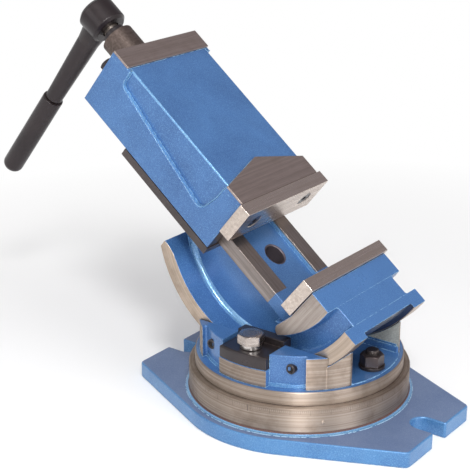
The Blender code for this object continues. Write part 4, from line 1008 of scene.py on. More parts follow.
@dataclass(frozen=True)
class Blackened(Finish):
    """Oil-blacked steel whose edges are rubbed to the colour rub."""

    slot: Slot = Slot.BLACK
    depth: float = 0.00003
    swing: Pair = (0.08, 0.05)
    grain: float = 700.0
    rub: Triple = (0.30, 0.25, 0.23)
    wear_and_glint: float = 1.0
    coat: float = 0.25

    def wire(self, w: Wiring, vector: Socket, shader: Node) -> None:
        """Slow tone changes, dust in patches and painted shade in corners, and a brown-grey rub on the
        edges.

        Args:
            w: The tree's wiring.
            vector: Coordinates in the piece's axes.
            shader: The Principled shader.
        """
        cast = w.effect("cast_skin", {"Vector": vector, "Grain": self.grain})
        dirt = w.effect("settled_dirt", {"Vector": vector, "Reach": 0.004, "Patches": 0.25})
        wear_glint = w.effect("edge_wear_and_glint", {"Vector": vector, "Radius": 0.0007, "Amount": self.wear_and_glint})
        tone = w.mix(cast.outputs["Tone"], (*self.shade, 1), (*self.colour, 1))
        # Dust in patches and painted shade in corners
        dusted_and_shaded = w.mix(w.maths("MULTIPLY", dirt.outputs[0], 0.35), tone, (0.10, 0.075, 0.060, 1))
        colour = w.mix(w.maths("MULTIPLY", wear_glint.outputs[0], 0.55), dusted_and_shaded, (*self.rub, 1))
        self.dress(w, shader, colour, cast.outputs["Tone"], dirt.outputs[0], cast.outputs["Height"])
        shader.inputs["Coat Weight"].default_value = self.coat
        shader.inputs["Coat Roughness"].default_value = 0.2


BLUE = Enamel(
    "blue_enamel", (0.062, 0.172, 0.408), (0.039, 0.117, 0.304), 0.36, 0.25,
    grain=800.0, depth=0.00015,
)
BLUE_SMOOTH = Enamel(
    "blue_enamel_smooth", (0.062, 0.172, 0.415), (0.050, 0.145, 0.360), 0.30, 0.25,
    depth=0.00005,
)
FOUNDRY = Enamel(
    "foundry_skin", (0.42, 0.43, 0.40), (0.24, 0.25, 0.24), 0.75, 0.10,
    light=(0.62, 0.64, 0.60), grain=420.0, depth=0.0006, coat=0.0, wear_and_glint=0.0,
)
# A lighter, more cyan copy of the blue enamel for the base: painted bounce light from the floor
BASE_BLUE_LIT = Enamel(
    "enamel_on_base", (0.072, 0.220, 0.465), (0.050, 0.160, 0.375), 0.34, 0.25,
    light=(0.20, 0.42, 0.64), edge=(0.50, 0.72, 0.85), grain=800.0, depth=0.00015, wear_and_glint=1.5,
)
# A greyer, rougher blue for the base's top: dust, and a painted sheen of reflected light
DUST_AND_SHEEN = Enamel(
    "enamel_under_dust", (0.140, 0.205, 0.365), (0.105, 0.165, 0.320), 0.46, 0.20,
    light=(0.24, 0.31, 0.44), edge=(0.50, 0.72, 0.85), grain=700.0, depth=0.00015, coat=0.2,
)
# A light cyan, glossy blue for fillets and rounded edges: a painted highlight
FILLET_HIGHLIGHT = Enamel(
    "enamel_in_fillets", (0.150, 0.350, 0.600), (0.090, 0.240, 0.500), 0.22, 0.35,
    light=(0.45, 0.70, 0.86), grain=600.0, depth=0.00030, coat=0.6, wear_and_glint=0.0, dirt=0.1,
)
SHADED = Enamel(
    "blue_in_shade", (0.032, 0.050, 0.110), (0.018, 0.030, 0.070), 0.45, 0.1,
    light=(0.03, 0.05, 0.09), edge=(0.05, 0.10, 0.18),
)
OXIDE = Enamel(
    "red_oxide", (0.105, 0.048, 0.040), (0.065, 0.032, 0.030), 0.6, 0.0,
    light=(0.16, 0.10, 0.08), coat=0.0, wear_and_glint=0.0,
)
TURNED_RING = Cut(
    "turned_iron", (0.50, 0.415, 0.350), (0.34, 0.27, 0.22), 0.50, 0.95,
    lay=Lay.TURNED_Z, stain=0.55, brush=0.9,
)
TURNED_DRUM = Cut(
    "turned_drum", (0.56, 0.46, 0.375), (0.41, 0.33, 0.265), 0.36, 0.95,
    lay=Lay.TURNED_Y, stain=0.5,
)
PAD_IRON = Cut("faced_pad", (0.48, 0.42, 0.38), (0.34, 0.29, 0.26), 0.36, 0.95, lay=Lay.MILLED_Z)
TURNED_BOSS = Cut("turned_boss", (0.17, 0.130, 0.115), (0.10, 0.075, 0.065), 0.42, 0.85, lay=Lay.TURNED_X)
MILLED_IRON = Cut("milled_iron", (0.50, 0.415, 0.38), (0.35, 0.285, 0.26), 0.38, 0.95, lay=Lay.MILLED_Y)
PLANED_RAIL = Cut("planed_rail", (0.36, 0.315, 0.295), (0.25, 0.215, 0.200), 0.36, 0.95, lay=Lay.MILLED_X)
GROUND = Cut(
    "ground_plate", (0.72, 0.63, 0.56), (0.56, 0.475, 0.42), 0.30, 1.0,
    slot=Slot.GROUND, lay=Lay.MILLED_Y, stain=0.15,
)
BRIGHT = Cut(
    "bright_collar", (0.80, 0.77, 0.74), (0.62, 0.59, 0.56), 0.22, 1.0,
    slot=Slot.BRIGHT, lay=Lay.TURNED_Z, stain=0.1,
)
BOLT_STEEL = Cut(
    "bolt_steel", (0.62, 0.56, 0.52), (0.42, 0.36, 0.33), 0.26, 1.0,
    slot=Slot.BRIGHT, lay=Lay.TURNED_Z, stain=0.3,
)
THREAD = Cut(
    "bright_screw", (0.55, 0.50, 0.46), (0.36, 0.32, 0.29), 0.30, 1.0,
    slot=Slot.BRIGHT, lay=Lay.TURNED_X,
)
BRONZE = Cut(
    "nut_bronze", (0.50, 0.33, 0.15), (0.36, 0.23, 0.10), 0.38, 1.0,
    slot=Slot.BRONZE, lay=Lay.MILLED_Y,
)
BLACK = Blackened("blackened", (0.042, 0.034, 0.036), (0.024, 0.019, 0.021), 0.30, 0.55)
CRANK_BLACK = Blackened(
    "crank_black", (0.029, 0.020, 0.022), (0.018, 0.012, 0.014), 0.34, 0.45,
    grain=1100.0, depth=0.00004,
)
BROWNED = Blackened(
    "browned_nut", (0.085, 0.063, 0.062), (0.050, 0.037, 0.037), 0.32, 0.6,
    rub=(0.42, 0.35, 0.33),
)
KEEPER_IRON = Blackened("keeper_iron", (0.095, 0.078, 0.076), (0.055, 0.045, 0.045), 0.40, 0.6)
# Dark iron for inside the slideway's hole: painted shade in the hole
BORED_IN_SHADE = Blackened("bored_iron", (0.115, 0.098, 0.115), (0.070, 0.058, 0.072), 0.45, 0.5, wear_and_glint=0.0, coat=0.0)
# Near black for sockets and thin gaps: painted shade
SHADE_BLACK = Blackened("dark_recess", (0.014, 0.012, 0.013), (0.007, 0.006, 0.008), 0.6, 0.2, wear_and_glint=0.0, coat=0.0)
INK = Blackened("scale_ink", (0.15, 0.115, 0.095), (0.09, 0.070, 0.058), 0.5, 0.3, wear_and_glint=0.0, coat=0.0)


def piece(
    name: str,
    shell: Shell,
    axes: Axes,
    finishes: Sequence[Finish],
    body: Body,
    stands_for: Sequence[str] = (),
) -> bpy.types.Object:
    """Makes a shell into an object that rides on a body.

    Args:
        name: The object's name.
        shell: Its points and faces, in ``axes``.
        axes: The axes of the points and of the finishes' patterns.
        finishes: Finishes by number.
        body: The body that it rides on.
        stands_for: CAD nodes that it replaces.

    Returns:
        The object.
    """
    shell = shell.trimmed()
    mesh = bpy.data.meshes.new(name)
    mesh.from_pydata(axes.carry(shell.points), [], shell.faces)
    for finish in finishes:
        mesh.materials.append(finish.material(axes))
    mesh.polygons.foreach_set("material_index", shell.finish.astype(np.int32))
    mesh.validate()
    mesh.shade_smooth()
    mesh.set_sharp_from_angle(angle=SHARP_TURN)
    item = bpy.data.objects.new(name, mesh)
    bpy.context.scene.collection.objects.link(item)
    weighted = item.modifiers.new("flat_faces_lead", "WEIGHTED_NORMAL")
    weighted.keep_sharp = True
    weighted.weight = FLAT_WEIGHT
    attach(item, body.value)
    if stands_for:
        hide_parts(*stands_for)
    LOG.info("%s: %d faces on %s", name, len(shell.faces), body.value)
    return item


def redress(nodes: dict, names: Sequence[str], finish: Finish, axes: Axes) -> None:
    """Gives CAD nodes whose shape is right a finish of their own.

    Args:
        nodes: The frame's nodes by name.
        names: The nodes.
        finish: The finish.
        axes: The axes of its pattern.
    """
    for name in names:
        item = nodes[name]
        item.data.materials.clear()
        item.data.materials.append(finish.material(axes))
        LOG.info("%s keeps its CAD shape", name)


def hexagon_head(
    across: float, span: Pair, chamfer: float, axis: int = 2, centre: Pair = (0.0, 0.0), bore: float = 0.0
) -> Shell:
    """A hexagon with turned chamfers: the smaller of the flats and a cone at each height.

    Args:
        across: Distance across flats.
        span: Seat and top.
        chamfer: Height of the turned cone at the top.
        axis: The bolt's axis.
        centre: Where the axis stands.
        bore: Radius of a hole through it, or 0 for a solid head.

    Returns:
        A closed shell.
    """
    rise = 1 if span[1] > span[0] else -1
    corner = across / 2 / math.cos(math.pi / 6)
    beyond = corner * 1.02
    face = across / 2 * 0.95
    cone = [(face + (beyond - face) * k / 4, span[1] - rise * chamfer * k / 4) for k in range(5)]
    rows = [(corner * 0.985, span[0]), (beyond, span[0] + rise * chamfer * 0.12)] + cone[::-1]
    if bore:
        ease = 0.0007
        lip = bore + ease
        hole = [(lip, span[1]), (bore, span[1] - rise * ease), (bore, span[0] + rise * ease)]
        rows = [(lip, span[0])] + rows + hole
        return lathe(rows, axis, centre, 72, True, flats(across, slice(1, -3)))
    rows.append((face * 0.6, span[1]))
    return lathe(rows, axis, centre, 72, False, flats(across))


def threaded(radius: float, pitch: float, depth: float, span: Pair, axis: int) -> Shell:
    """A screw thread: r = radius - depth * trapezoid of (h / pitch - t / turn).

    The trapezoid is flat over the same share of the pitch at crest and root.

    Args:
        radius: Crest radius.
        pitch: Distance from crest to crest.
        depth: Depth of the groove.
        span: From where to where.
        axis: The screw's axis.

    Returns:
        A closed shell.
    """
    flat, count = 0.3, int(abs(span[1] - span[0]) / pitch * 12)
    heights = np.linspace(span[0], span[1], count)
    fade = np.clip(np.minimum(abs(heights - span[0]), abs(heights - span[1])) / pitch, 0, 1)

    def limit(radii: Array, t: Array) -> Array:
        """The radii less the groove's depth at each height and angle.

        Args:
            radii: Crest radii.
            t: The angles.

        Returns:
            The radii with the thread.
        """
        phase = (heights[:, None] / pitch - t / (2 * np.pi)) % 1.0
        wave = np.clip((abs(phase - 0.5) * 2 - flat) / (1 - 2 * flat), 0, 1)
        return radii - depth * (1 - wave) * (0.4 + 0.6 * fade[:, None])

    return lathe(np.stack([np.full(count, radius), heights], 1), axis, steps=48, limit=limit)


def socket_face(radius: float, key: float, face: float, inner: float, axis: int, seat: float) -> Shell:
    """A screw's end with a chamfered rim and a hexagon socket.

    Args:
        radius: Radius of the screw.
        key: Distance across the socket's flats.
        face: Height of the visible face.
        inner: Height of the socket's floor.
        axis: The screw's axis.
        seat: Height of the hidden end.

    Returns:
        A closed shell.
    """
    way = 1 if face > seat else -1
    corner = key / 2 / math.cos(math.pi / 6)
    chamfer, lead, dip = 0.0006, 0.0005, 0.0004
    rows = [
        (radius, seat), (radius, face - way * chamfer), (radius - chamfer, face), (corner * 1.12, face),
        (corner, face - way * lead), (corner, inner), (corner * 0.5, inner - way * dip),
    ]
    return lathe(rows, axis, steps=48, limit=flats(key, slice(4, None)))


# Sub-assemblies


@dataclass
class SwivelBase:
    """The bolted-down plate with the turned ring that the saddle swivels on."""

    length: float = 0.3012
    width: float = 0.1094
    thickness: float = 0.0151
    round_radius: float = 0.113
    corner: float = 0.006
    slot_corner: float = 0.0022
    rims: Pair = (0.0006, 0.0018)
    slot_width: float = 0.022
    slot_depth: float = 0.0276
    bore: float = 0.0225
    ring_radius: float = 0.1035
    ring_top: float = 0.0407
    ring_sink: float = 0.003
    flare: float = 0.0034
    flare_foot: float = 0.0006
    mouth: Pair = (0.0725, 0.0855)
    mouth_low: float = 0.030
    head: Pair = (0.068, 0.090)
    head_low: float = 0.020
    pin_radius: float = 0.0022
    pin_dome: float = 0.0008
    pin_z: float = 0.0273
    pin_turn: float = -43.9
    index_turn: float = -81.5
    index_size: Pair = (0.0060, 0.0005)
    line_lengths: Triple = (0.0046, 0.0034, 0.0022)
    line_widths: Pair = (0.00024, 0.00016)
    line_drop: float = 0.0014
    line_rise: float = 0.00006
    line_depth: float = 0.0008

    def plan(self) -> Array:
        """Plan of the plate: straight ends, tangents to the round middle, and an open slot in each end.

        Returns:
            The outline as (count, 2), anticlockwise.
        """
        half_length, half_width, half_slot = self.length / 2, self.width / 2, self.slot_width / 2
        reach = math.hypot(half_length, half_width)
        turn = math.atan2(half_width, half_length) + math.acos(self.round_radius / reach)
        middle = arc(self.round_radius, math.degrees(turn), 90, 28)
        inner = half_length - self.slot_depth + half_slot
        bay = arc(half_slot, 180, 90, 9, (inner, 0.0))
        end = eased(
            [(inner, half_slot), (half_length, half_slot), (half_length, half_width), tuple(middle[0])],
            [0.0, self.slot_corner, self.corner, 0.0], 6,
        )
        quarter = np.concatenate([bay, end[1:], middle[1:]])
        half = np.concatenate([quarter, (quarter * [-1, 1])[::-1][1:]])
        return np.concatenate([half, (half * [1, -1])[::-1][1:-1]])

    def build(self) -> None:
        """Makes the plate, the ring with its flare, the rivet and the scale.

        The flare's radius is r + f (1 - sin a) at a height of f (1 - cos a) over its foot.
        """
        plate = prism(self.plan(), (0.0, self.thickness), Plane.XY, *self.rims, 5)
        # The plate's top takes finish 3: dust with a painted sheen
        plate.dressed(3, lambda c, n: n[:, 2] > FACING)
        rise, r, f, top = self.thickness, self.ring_radius, self.flare, self.ring_top
        low, foot = rise - self.ring_sink, rise + self.flare_foot
        turns = np.linspace(0, math.pi / 2, 9)[1:]
        curve = [(r + f * (1 - math.sin(a)), foot + f * (1 - math.cos(a))) for a in turns]
        rim = [(r, top - 0.0008), (r - 0.0003, top - 0.0002), (r - 0.0010, top)]
        outside = [(self.bore, low), (r + f, low), (r + f, foot)] + curve + rim
        (mouth_in, mouth_out), (head_in, head_out) = self.mouth, self.head
        under, floor = self.mouth_low, self.head_low
        slot = [(mouth_out, top), (mouth_out, under), (head_out, under), (head_out, floor)]
        slot += [(head_in, floor), (head_in, under), (mouth_in, under), (mouth_in, top)]
        ring = lathe(outside + slot + [(self.bore, top)], steps=192, ring=True)
        ring.dressed(1, lambda c, n: (off_axis(c) < r + 0.0003) & (c[:, 2] > rise + 0.0012))
        ring.dressed(2, lambda c, n: (abs(off_axis(c) - r - 0.0006) < 0.0005) & (c[:, 2] < rise + 0.006))
        # The flare at the ring's foot takes finish 4, a painted highlight
        ring.dressed(4, lambda c, n: (off_axis(c) > r + 0.0011) & (c[:, 2] > rise))
        # Finish 0 is the base's lighter blue, with painted bounce light from the floor
        finishes = [BASE_BLUE_LIT, TURNED_RING, OXIDE, DUST_AND_SHEEN, FILLET_HIGHLIGHT]
        piece("base_casting", plate + ring, GROUND_AXES, finishes, Body.BASE, ["base_plate"])
        self.rivet()
        self.scale()

    def rivet(self) -> None:
        """A domed pin in the ring's side."""
        a = np.linspace(0, np.pi / 2 * 0.9, 7)
        r, wall = self.pin_radius, self.ring_radius
        dome = np.stack([r * np.cos(a), wall - 0.0002 + self.pin_dome * np.sin(a)], 1)
        pin = lathe(np.concatenate([[(r, wall - 0.003)], dome]), 0, (0.0, self.pin_z), 32)
        piece("ring_pin", pin.turned(self.pin_turn), GROUND_AXES, [TURNED_RING], Body.BASE, ["ring_rivet"])

    def scale(self) -> None:
        """Degree lines round the ring, inlaid as thin strips at r + a hair, with a longer index line."""
        degrees = np.append(np.arange(0.0, 360.0), self.index_turn)
        ten, five, one = self.line_lengths
        long = np.where(degrees % 10 == 0, ten, np.where(degrees % 5 == 0, five, one))
        wide = np.where(degrees % 10 == 0, *self.line_widths)
        long[-1], wide[-1] = self.index_size
        turn = np.radians(degrees)[:, None]
        corner_t = np.array([-1, 1, 1, -1, -1, 1, 1, -1])[None] * wide[:, None] / 2 / self.ring_radius
        deep = np.array([0, 0, 0, 0, 1, 1, 1, 1])[None]
        radius = self.ring_radius + self.line_rise - self.line_depth * deep
        drop = np.array([0, 0, 1, 1, 0, 0, 1, 1])[None] * long[:, None]
        height = self.ring_top - self.line_drop - drop
        around = turn + corner_t
        points = np.stack([radius * np.cos(around), radius * np.sin(around), height], -1).reshape(-1, 3)
        cube = np.array([[0, 1, 2, 3], [7, 6, 5, 4], [0, 4, 5, 1], [1, 5, 6, 2], [2, 6, 7, 3], [3, 7, 4, 0]])
        faces = (cube[None] + 8 * np.arange(len(degrees))[:, None, None]).reshape(-1, 4)
        marks = Shell(points, faces.tolist()).outward()
        piece("ring_scale", marks, GROUND_AXES, [INK], Body.BASE)


@dataclass
class Saddle:
    """The turned disc and the cheeks that carry the drum."""

    disc_radius: float = 0.0977
    disc_low: float = 0.0410
    disc_top: float = 0.0538
    pad_radius: float = 0.093
    recess_radius: float = 0.088
    recess: float = 0.057
    top: float = 0.084
    cheek_y: float = 0.0605
    seat: float = 0.0695
    half_seat: float = 0.0256
    slot_y: float = 0.041
    slot_x: float = 0.044
    floor: float = 0.0546
    ledge: float = 0.060
    ledge_width: float = 0.0025
    fillet: float = 0.002
    tilt_height: float = 0.1723
    cradle_radius: float = 0.1199
    bore: float = 0.020
    crown: float = 0.0016
    sink: float = 0.004
    foot_cove: float = 0.0030
    post_cove: float = 0.0022
    block_low: float = 0.045
    post_low: float = 0.049
    floor_low: float = 0.050
    floor_end: float = 0.0925

    def outside(self, shell: Shell) -> Shell:
        """Gives the turned finish to the upright faces that lie on the pads' radius."""
        edge = self.pad_radius - 0.0004
        return shell.dressed(1, lambda c, n: (off_axis(c) > edge) & (abs(n[:, 2]) < UPRIGHT))

    def cradle(self, x: Array) -> Array:
        """Height of the cradle's arc under the drum: tilt height - sqrt(r^2 - x^2)."""
        return self.tilt_height - np.sqrt(self.cradle_radius**2 - x**2)

    def cheek(self) -> Shell:
        """The cheek at +x, +y: a pad at its end and a filleted recess from there to the clamp's seat.

        Its plan goes along the inner side, round the recess's arc, the fillet's arc and the pad's.

        Returns:
            The cheek with the fillet at its foot.
        """
        r, low, f = self.pad_radius, self.recess_radius, self.fillet
        last = (self.recess - f, math.sqrt((low + f) ** 2 - (self.recess - f) ** 2))
        start, end = turn_at(self.half_seat, low), math.degrees(math.atan2(last[1], last[0]))
        right = arc(f, 180 + end, 360, 6, last)
        bulge = arc(r, turn_at(self.recess, r), rise_at(self.cheek_y, r), 10)
        hollow = arc(low, start, end, 16)[:-1]
        outline = np.concatenate([[(self.half_seat, self.cheek_y)], hollow, right, bulge])
        cheek = self.outside(prism(outline, (self.disc_top - self.sink, self.top), high=0.0010))
        cheek.dressed(2, lambda c, n: (abs(c[:, 1] - self.cheek_y) < 0.0006) & (n[:, 1] < -FACING))
        foot = arc(low, start + 1.5, end - 1.5, 16)
        line = np.column_stack([foot, np.full(len(foot), self.disc_top)])
        # The fillet at the foot takes the painted highlight
        return cheek + cove(line, UP, self.foot_cove, -1.0).dressed(3)

    def build(self) -> None:
        """Makes the disc with its rounded crown, the cradle block, cheeks, end posts, seats and floors."""
        r, low, top, q = self.disc_radius, self.disc_low, self.disc_top, self.crown
        turns = np.linspace(0, math.pi / 2, 6)
        crown = [(r - q * (1 - math.cos(a)), top - q * (1 - math.sin(a))) for a in turns]
        profile = [(self.bore, low), (r - 0.0005, low), (r, low + 0.0005)] + crown + [(self.bore, top)]
        disc = lathe(profile, steps=192)
        disc.dressed(1, lambda c, n: (abs(n[:, 2]) < 0.93) & (off_axis(c) > r - 0.003))
        x = np.linspace(-self.slot_x - 0.002, self.slot_x + 0.002, 49)
        reach = self.cheek_y + 0.001
        block = bar(x, (-reach, reach), (self.block_low, self.cradle(x)), 0.0008, 0.0012)
        walls = self.cheek().both(0).both(1)
        whole = disc + block + walls + self.posts() + self.outside(self.seats()) + self.floors()
        finishes = [BLUE, TURNED_RING, FOUNDRY, FILLET_HIGHLIGHT]
        piece("saddle_casting", whole, GROUND_AXES, finishes, Body.SWIVEL, ["saddle"])

    def posts(self) -> Shell:
        """The four end posts between cheek and slot, with a fillet at each foot.

        They are bars whose top is the cradle's arc and whose outer side is the pad's.

        Returns:
            The posts.
        """
        end = math.sqrt(self.pad_radius**2 - self.slot_y**2)
        x = np.linspace(self.slot_x - 0.004, end - 0.0002, 40)
        side = np.minimum(self.cheek_y + 0.001, np.sqrt(np.maximum(self.pad_radius**2 - x**2, 0)))
        post = bar(x, (self.slot_y, side), (self.post_low, self.cradle(x)), 0.0009, 0.0008)
        edge = self.pad_radius - 0.0006
        post.dressed(1, lambda c, n: (off_axis(c) > edge) & (abs(n[:, 2]) < UPRIGHT))
        post.dressed(2, lambda c, n: n[:, 1] < -FACING)
        foot = np.linspace(self.slot_x, end - 0.003, 12)
        line = np.stack([foot, np.full(12, self.slot_y), np.full(12, self.ledge)], 1)
        return (post + cove(line, UP, self.post_cove)).both(0).both(1)

    def seats(self) -> Shell:
        """The low pads under the clamp blocks, round outside as the disc.

        Returns:
            Both pads.
        """
        half = self.half_seat
        start = turn_at(half, self.pad_radius)
        edge = arc(self.pad_radius, start, 180 - start, 24)
        outline = np.concatenate([[(half, self.cheek_y)], edge, [(-half, self.cheek_y)]])
        return prism(outline, (self.disc_top - self.sink, self.seat), high=0.0006).both(1)

    def floors(self) -> Shell:
        """The end slots' floors, round outside as the disc, and the ledges along their sides.

        Returns:
            The floors and ledges at both ends.
        """
        reach = math.sqrt(self.pad_radius**2 - self.slot_y**2)
        x = np.linspace(self.slot_x - 0.003, self.floor_end, 30)
        half = np.minimum(self.slot_y, np.sqrt(np.maximum(self.pad_radius**2 - x**2, 1e-8)))
        floor = bar(x, (-half, half), (self.floor_low, self.floor), 0.0004, 0.0006)
        low = self.slot_y - self.ledge_width
        x = np.linspace(self.slot_x - 0.003, reach - 0.0006, 8)
        ledge = bar(x, (low, self.slot_y + 0.001), (self.floor_low, self.ledge), 0.0010, 0.0010)
        return (floor + ledge.both(1)).both(0)


@dataclass
class Clamps:
    """The two blocks that hold the drum's rims, with bolts and washers."""

    half: float = 0.0253
    outer: float = 0.0927
    foot: float = 0.0698
    top: float = 0.081
    lip_y: Pair = (0.0505, 0.062)
    lip_top: float = 0.0873
    lip_radius: float = 0.1045
    bolt_y: float = 0.0765
    bolt_radius: float = 0.007
    bolt_across: float = 0.021
    bolt_head: float = 0.009
    bolt_turn: float = 14.0
    washer_bore: float = 0.0073
    washer_radius: float = 0.00975
    washer_height: float = 0.004
    washer_edge: float = 0.00035
    tilt_height: float = 0.1723

    def block(self) -> Shell:
        """The near and far block's shape: a body on the seat, and a lip whose underside is the groove's arc.

        Returns:
            The block at +y.
        """
        start = turn_at(self.half, self.outer)
        inner = self.lip_y[1] - 0.0017
        edge = arc(self.outer, start, 180 - start, 24)
        outline = np.concatenate([[(self.half, inner)], edge, [(-self.half, inner)]])
        body = prism(outline, (self.foot, self.top), Plane.XY, 0.0004, 0.0024, 5)
        x = np.linspace(-self.half, self.half, 33)
        under = self.tilt_height - np.sqrt(self.lip_radius**2 - x**2)
        return body + bar(x, self.lip_y, (under, self.lip_top), 0.0007, 0.0009)

    def build(self) -> None:
        """Makes both sides' blocks, washers and bolts."""
        block = self.block()
        low = self.top + GAP
        seat = low + self.washer_height
        bore, wide, edge = self.washer_bore, self.washer_radius, self.washer_edge
        rim = [(bore, low), (wide - edge, low), (wide, low + 0.0004), (wide, low + 0.0036)]
        washer = lathe(rim + [(wide - edge, seat), (bore, seat)], steps=48, ring=True)
        span = (seat + GAP, seat + GAP + self.bolt_head)
        head = hexagon_head(self.bolt_across, span, 0.0010).turned(self.bolt_turn)
        shank = lathe([(self.bolt_radius, self.top - 0.004), (self.bolt_radius, low + 0.006)], steps=32)
        # A thin near-black ring between washer and head: painted shadow in the gap
        seam = [(0.0072, seat), (0.0096, seat), (0.0096, seat + 0.0006), (0.0072, seat + 0.0006)]
        bolt = head + shank + lathe(seam, steps=48, ring=True).dressed(1)
        for side, word in ((-1, "near"), (1, "far")):
            here = block if side > 0 else block.mirrored(1)
            place = Axes((0.0, side * self.bolt_y, 0.0))
            piece(f"clamp_{word}", here, GROUND_AXES, [BLACK], Body.SWIVEL, [f"clamp_block_{word}"])
            piece(f"clamp_collar_{word}", washer, place, [BRIGHT], Body.SWIVEL, [f"clamp_washer_{word}"])
            finishes = [BOLT_STEEL, SHADE_BLACK]
            piece(f"clamp_screw_{word}", bolt, place, finishes, Body.SWIVEL, [f"clamp_bolt_{word}"])


@dataclass
class SaddleScrews:
    """Socket screws through the cheeks, and the nuts that hold the saddle down."""

    screw_x: float = 0.0435
    screw_z: float = 0.072
    screw_radius: float = 0.0047
    screw_key: float = 0.005
    socket_depth: float = 0.0014
    seat_y: float = 0.062
    reach: float = 0.0786
    hold_x: float = 0.079
    floor: float = 0.0546
    washer_bore: float = 0.0063
    washer_radius: float = 0.012
    washer_height: float = 0.0025
    nut_across: float = 0.019
    nut_height: float = 0.0105
    stud_radius: float = 0.0060
    stud_pitch: float = 0.00175
    stud_top: float = 0.0725
    t_head_half: float = 0.010
    t_head: Pair = (0.0206, 0.0297)

    def build(self) -> None:
        """Makes the four socket screws and both nut sets."""
        for side, word in ((-1, "near"), (1, "far")):
            for end, tag in ((-1, "left"), (1, "right")):
                place = Axes((end * self.screw_x, 0.0, self.screw_z))
                face, floor = side * self.reach, side * (self.reach - self.socket_depth)
                seat = side * self.seat_y
                screw = socket_face(self.screw_radius, self.screw_key, face, floor, 1, seat)
                # Inside the socket: painted shade
                screw.dressed(1, lambda c, n: off_axis(c, 1) < 0.0030)
                name = f"set_screw_{word}_{tag}"
                piece(f"socket_screw_{word}_{tag}", screw, place, [BLACK, SHADE_BLACK], Body.SWIVEL, [name])
        for end, tag in ((-1, "left"), (1, "right")):
            self.hold_down(Axes((end * self.hold_x, 0.0, 0.0)), tag)

    def hold_down(self, place: Axes, tag: str) -> None:
        """Makes one washer, one nut, and one stud with the square head that runs in the base's T slot.

        Args:
            place: Axes that stand in the stud's axis.
            tag: "left" or "right".
        """
        low = self.floor + GAP
        bore, wide, seat = self.washer_bore, self.washer_radius, low + self.washer_height
        rim = [(wide - 0.0002, low), (wide, low + 0.0003), (wide, seat - 0.0003), (wide - 0.0003, seat)]
        washer = lathe([(bore, low)] + rim + [(bore, seat)], steps=64, ring=True)
        piece(f"hold_washer_{tag}", washer, place, [BLACK], Body.SWIVEL, [f"hold_down_washer_{tag}"])
        base, r, top = seat + GAP, self.stud_radius, self.stud_top
        nut = hexagon_head(self.nut_across, (base, base + self.nut_height), 0.0014, bore=r)
        piece(f"hold_nut_{tag}", nut, place, [BROWNED], Body.SWIVEL, [f"hold_down_nut_{tag}"])
        stud = threaded(r, self.stud_pitch, 0.0009, (base, top - 0.0007), 2)
        tip = lathe([(r, top - 0.0015), (r - 0.0008, top - 0.0003), (r - 0.0015, top)], steps=48)
        half = self.t_head_half
        head = bar(np.array([-half, half]), (-half, half), self.t_head, 0.001, 0.001)
        neck = lathe([(r, self.t_head[1] - 0.0007), (r, base + 0.001)], steps=32)
        whole = stud + tip + head + neck
        piece(f"hold_stud_{tag}", whole, place, [BLACK], Body.SWIVEL, [f"hold_down_bolt_{tag}"])


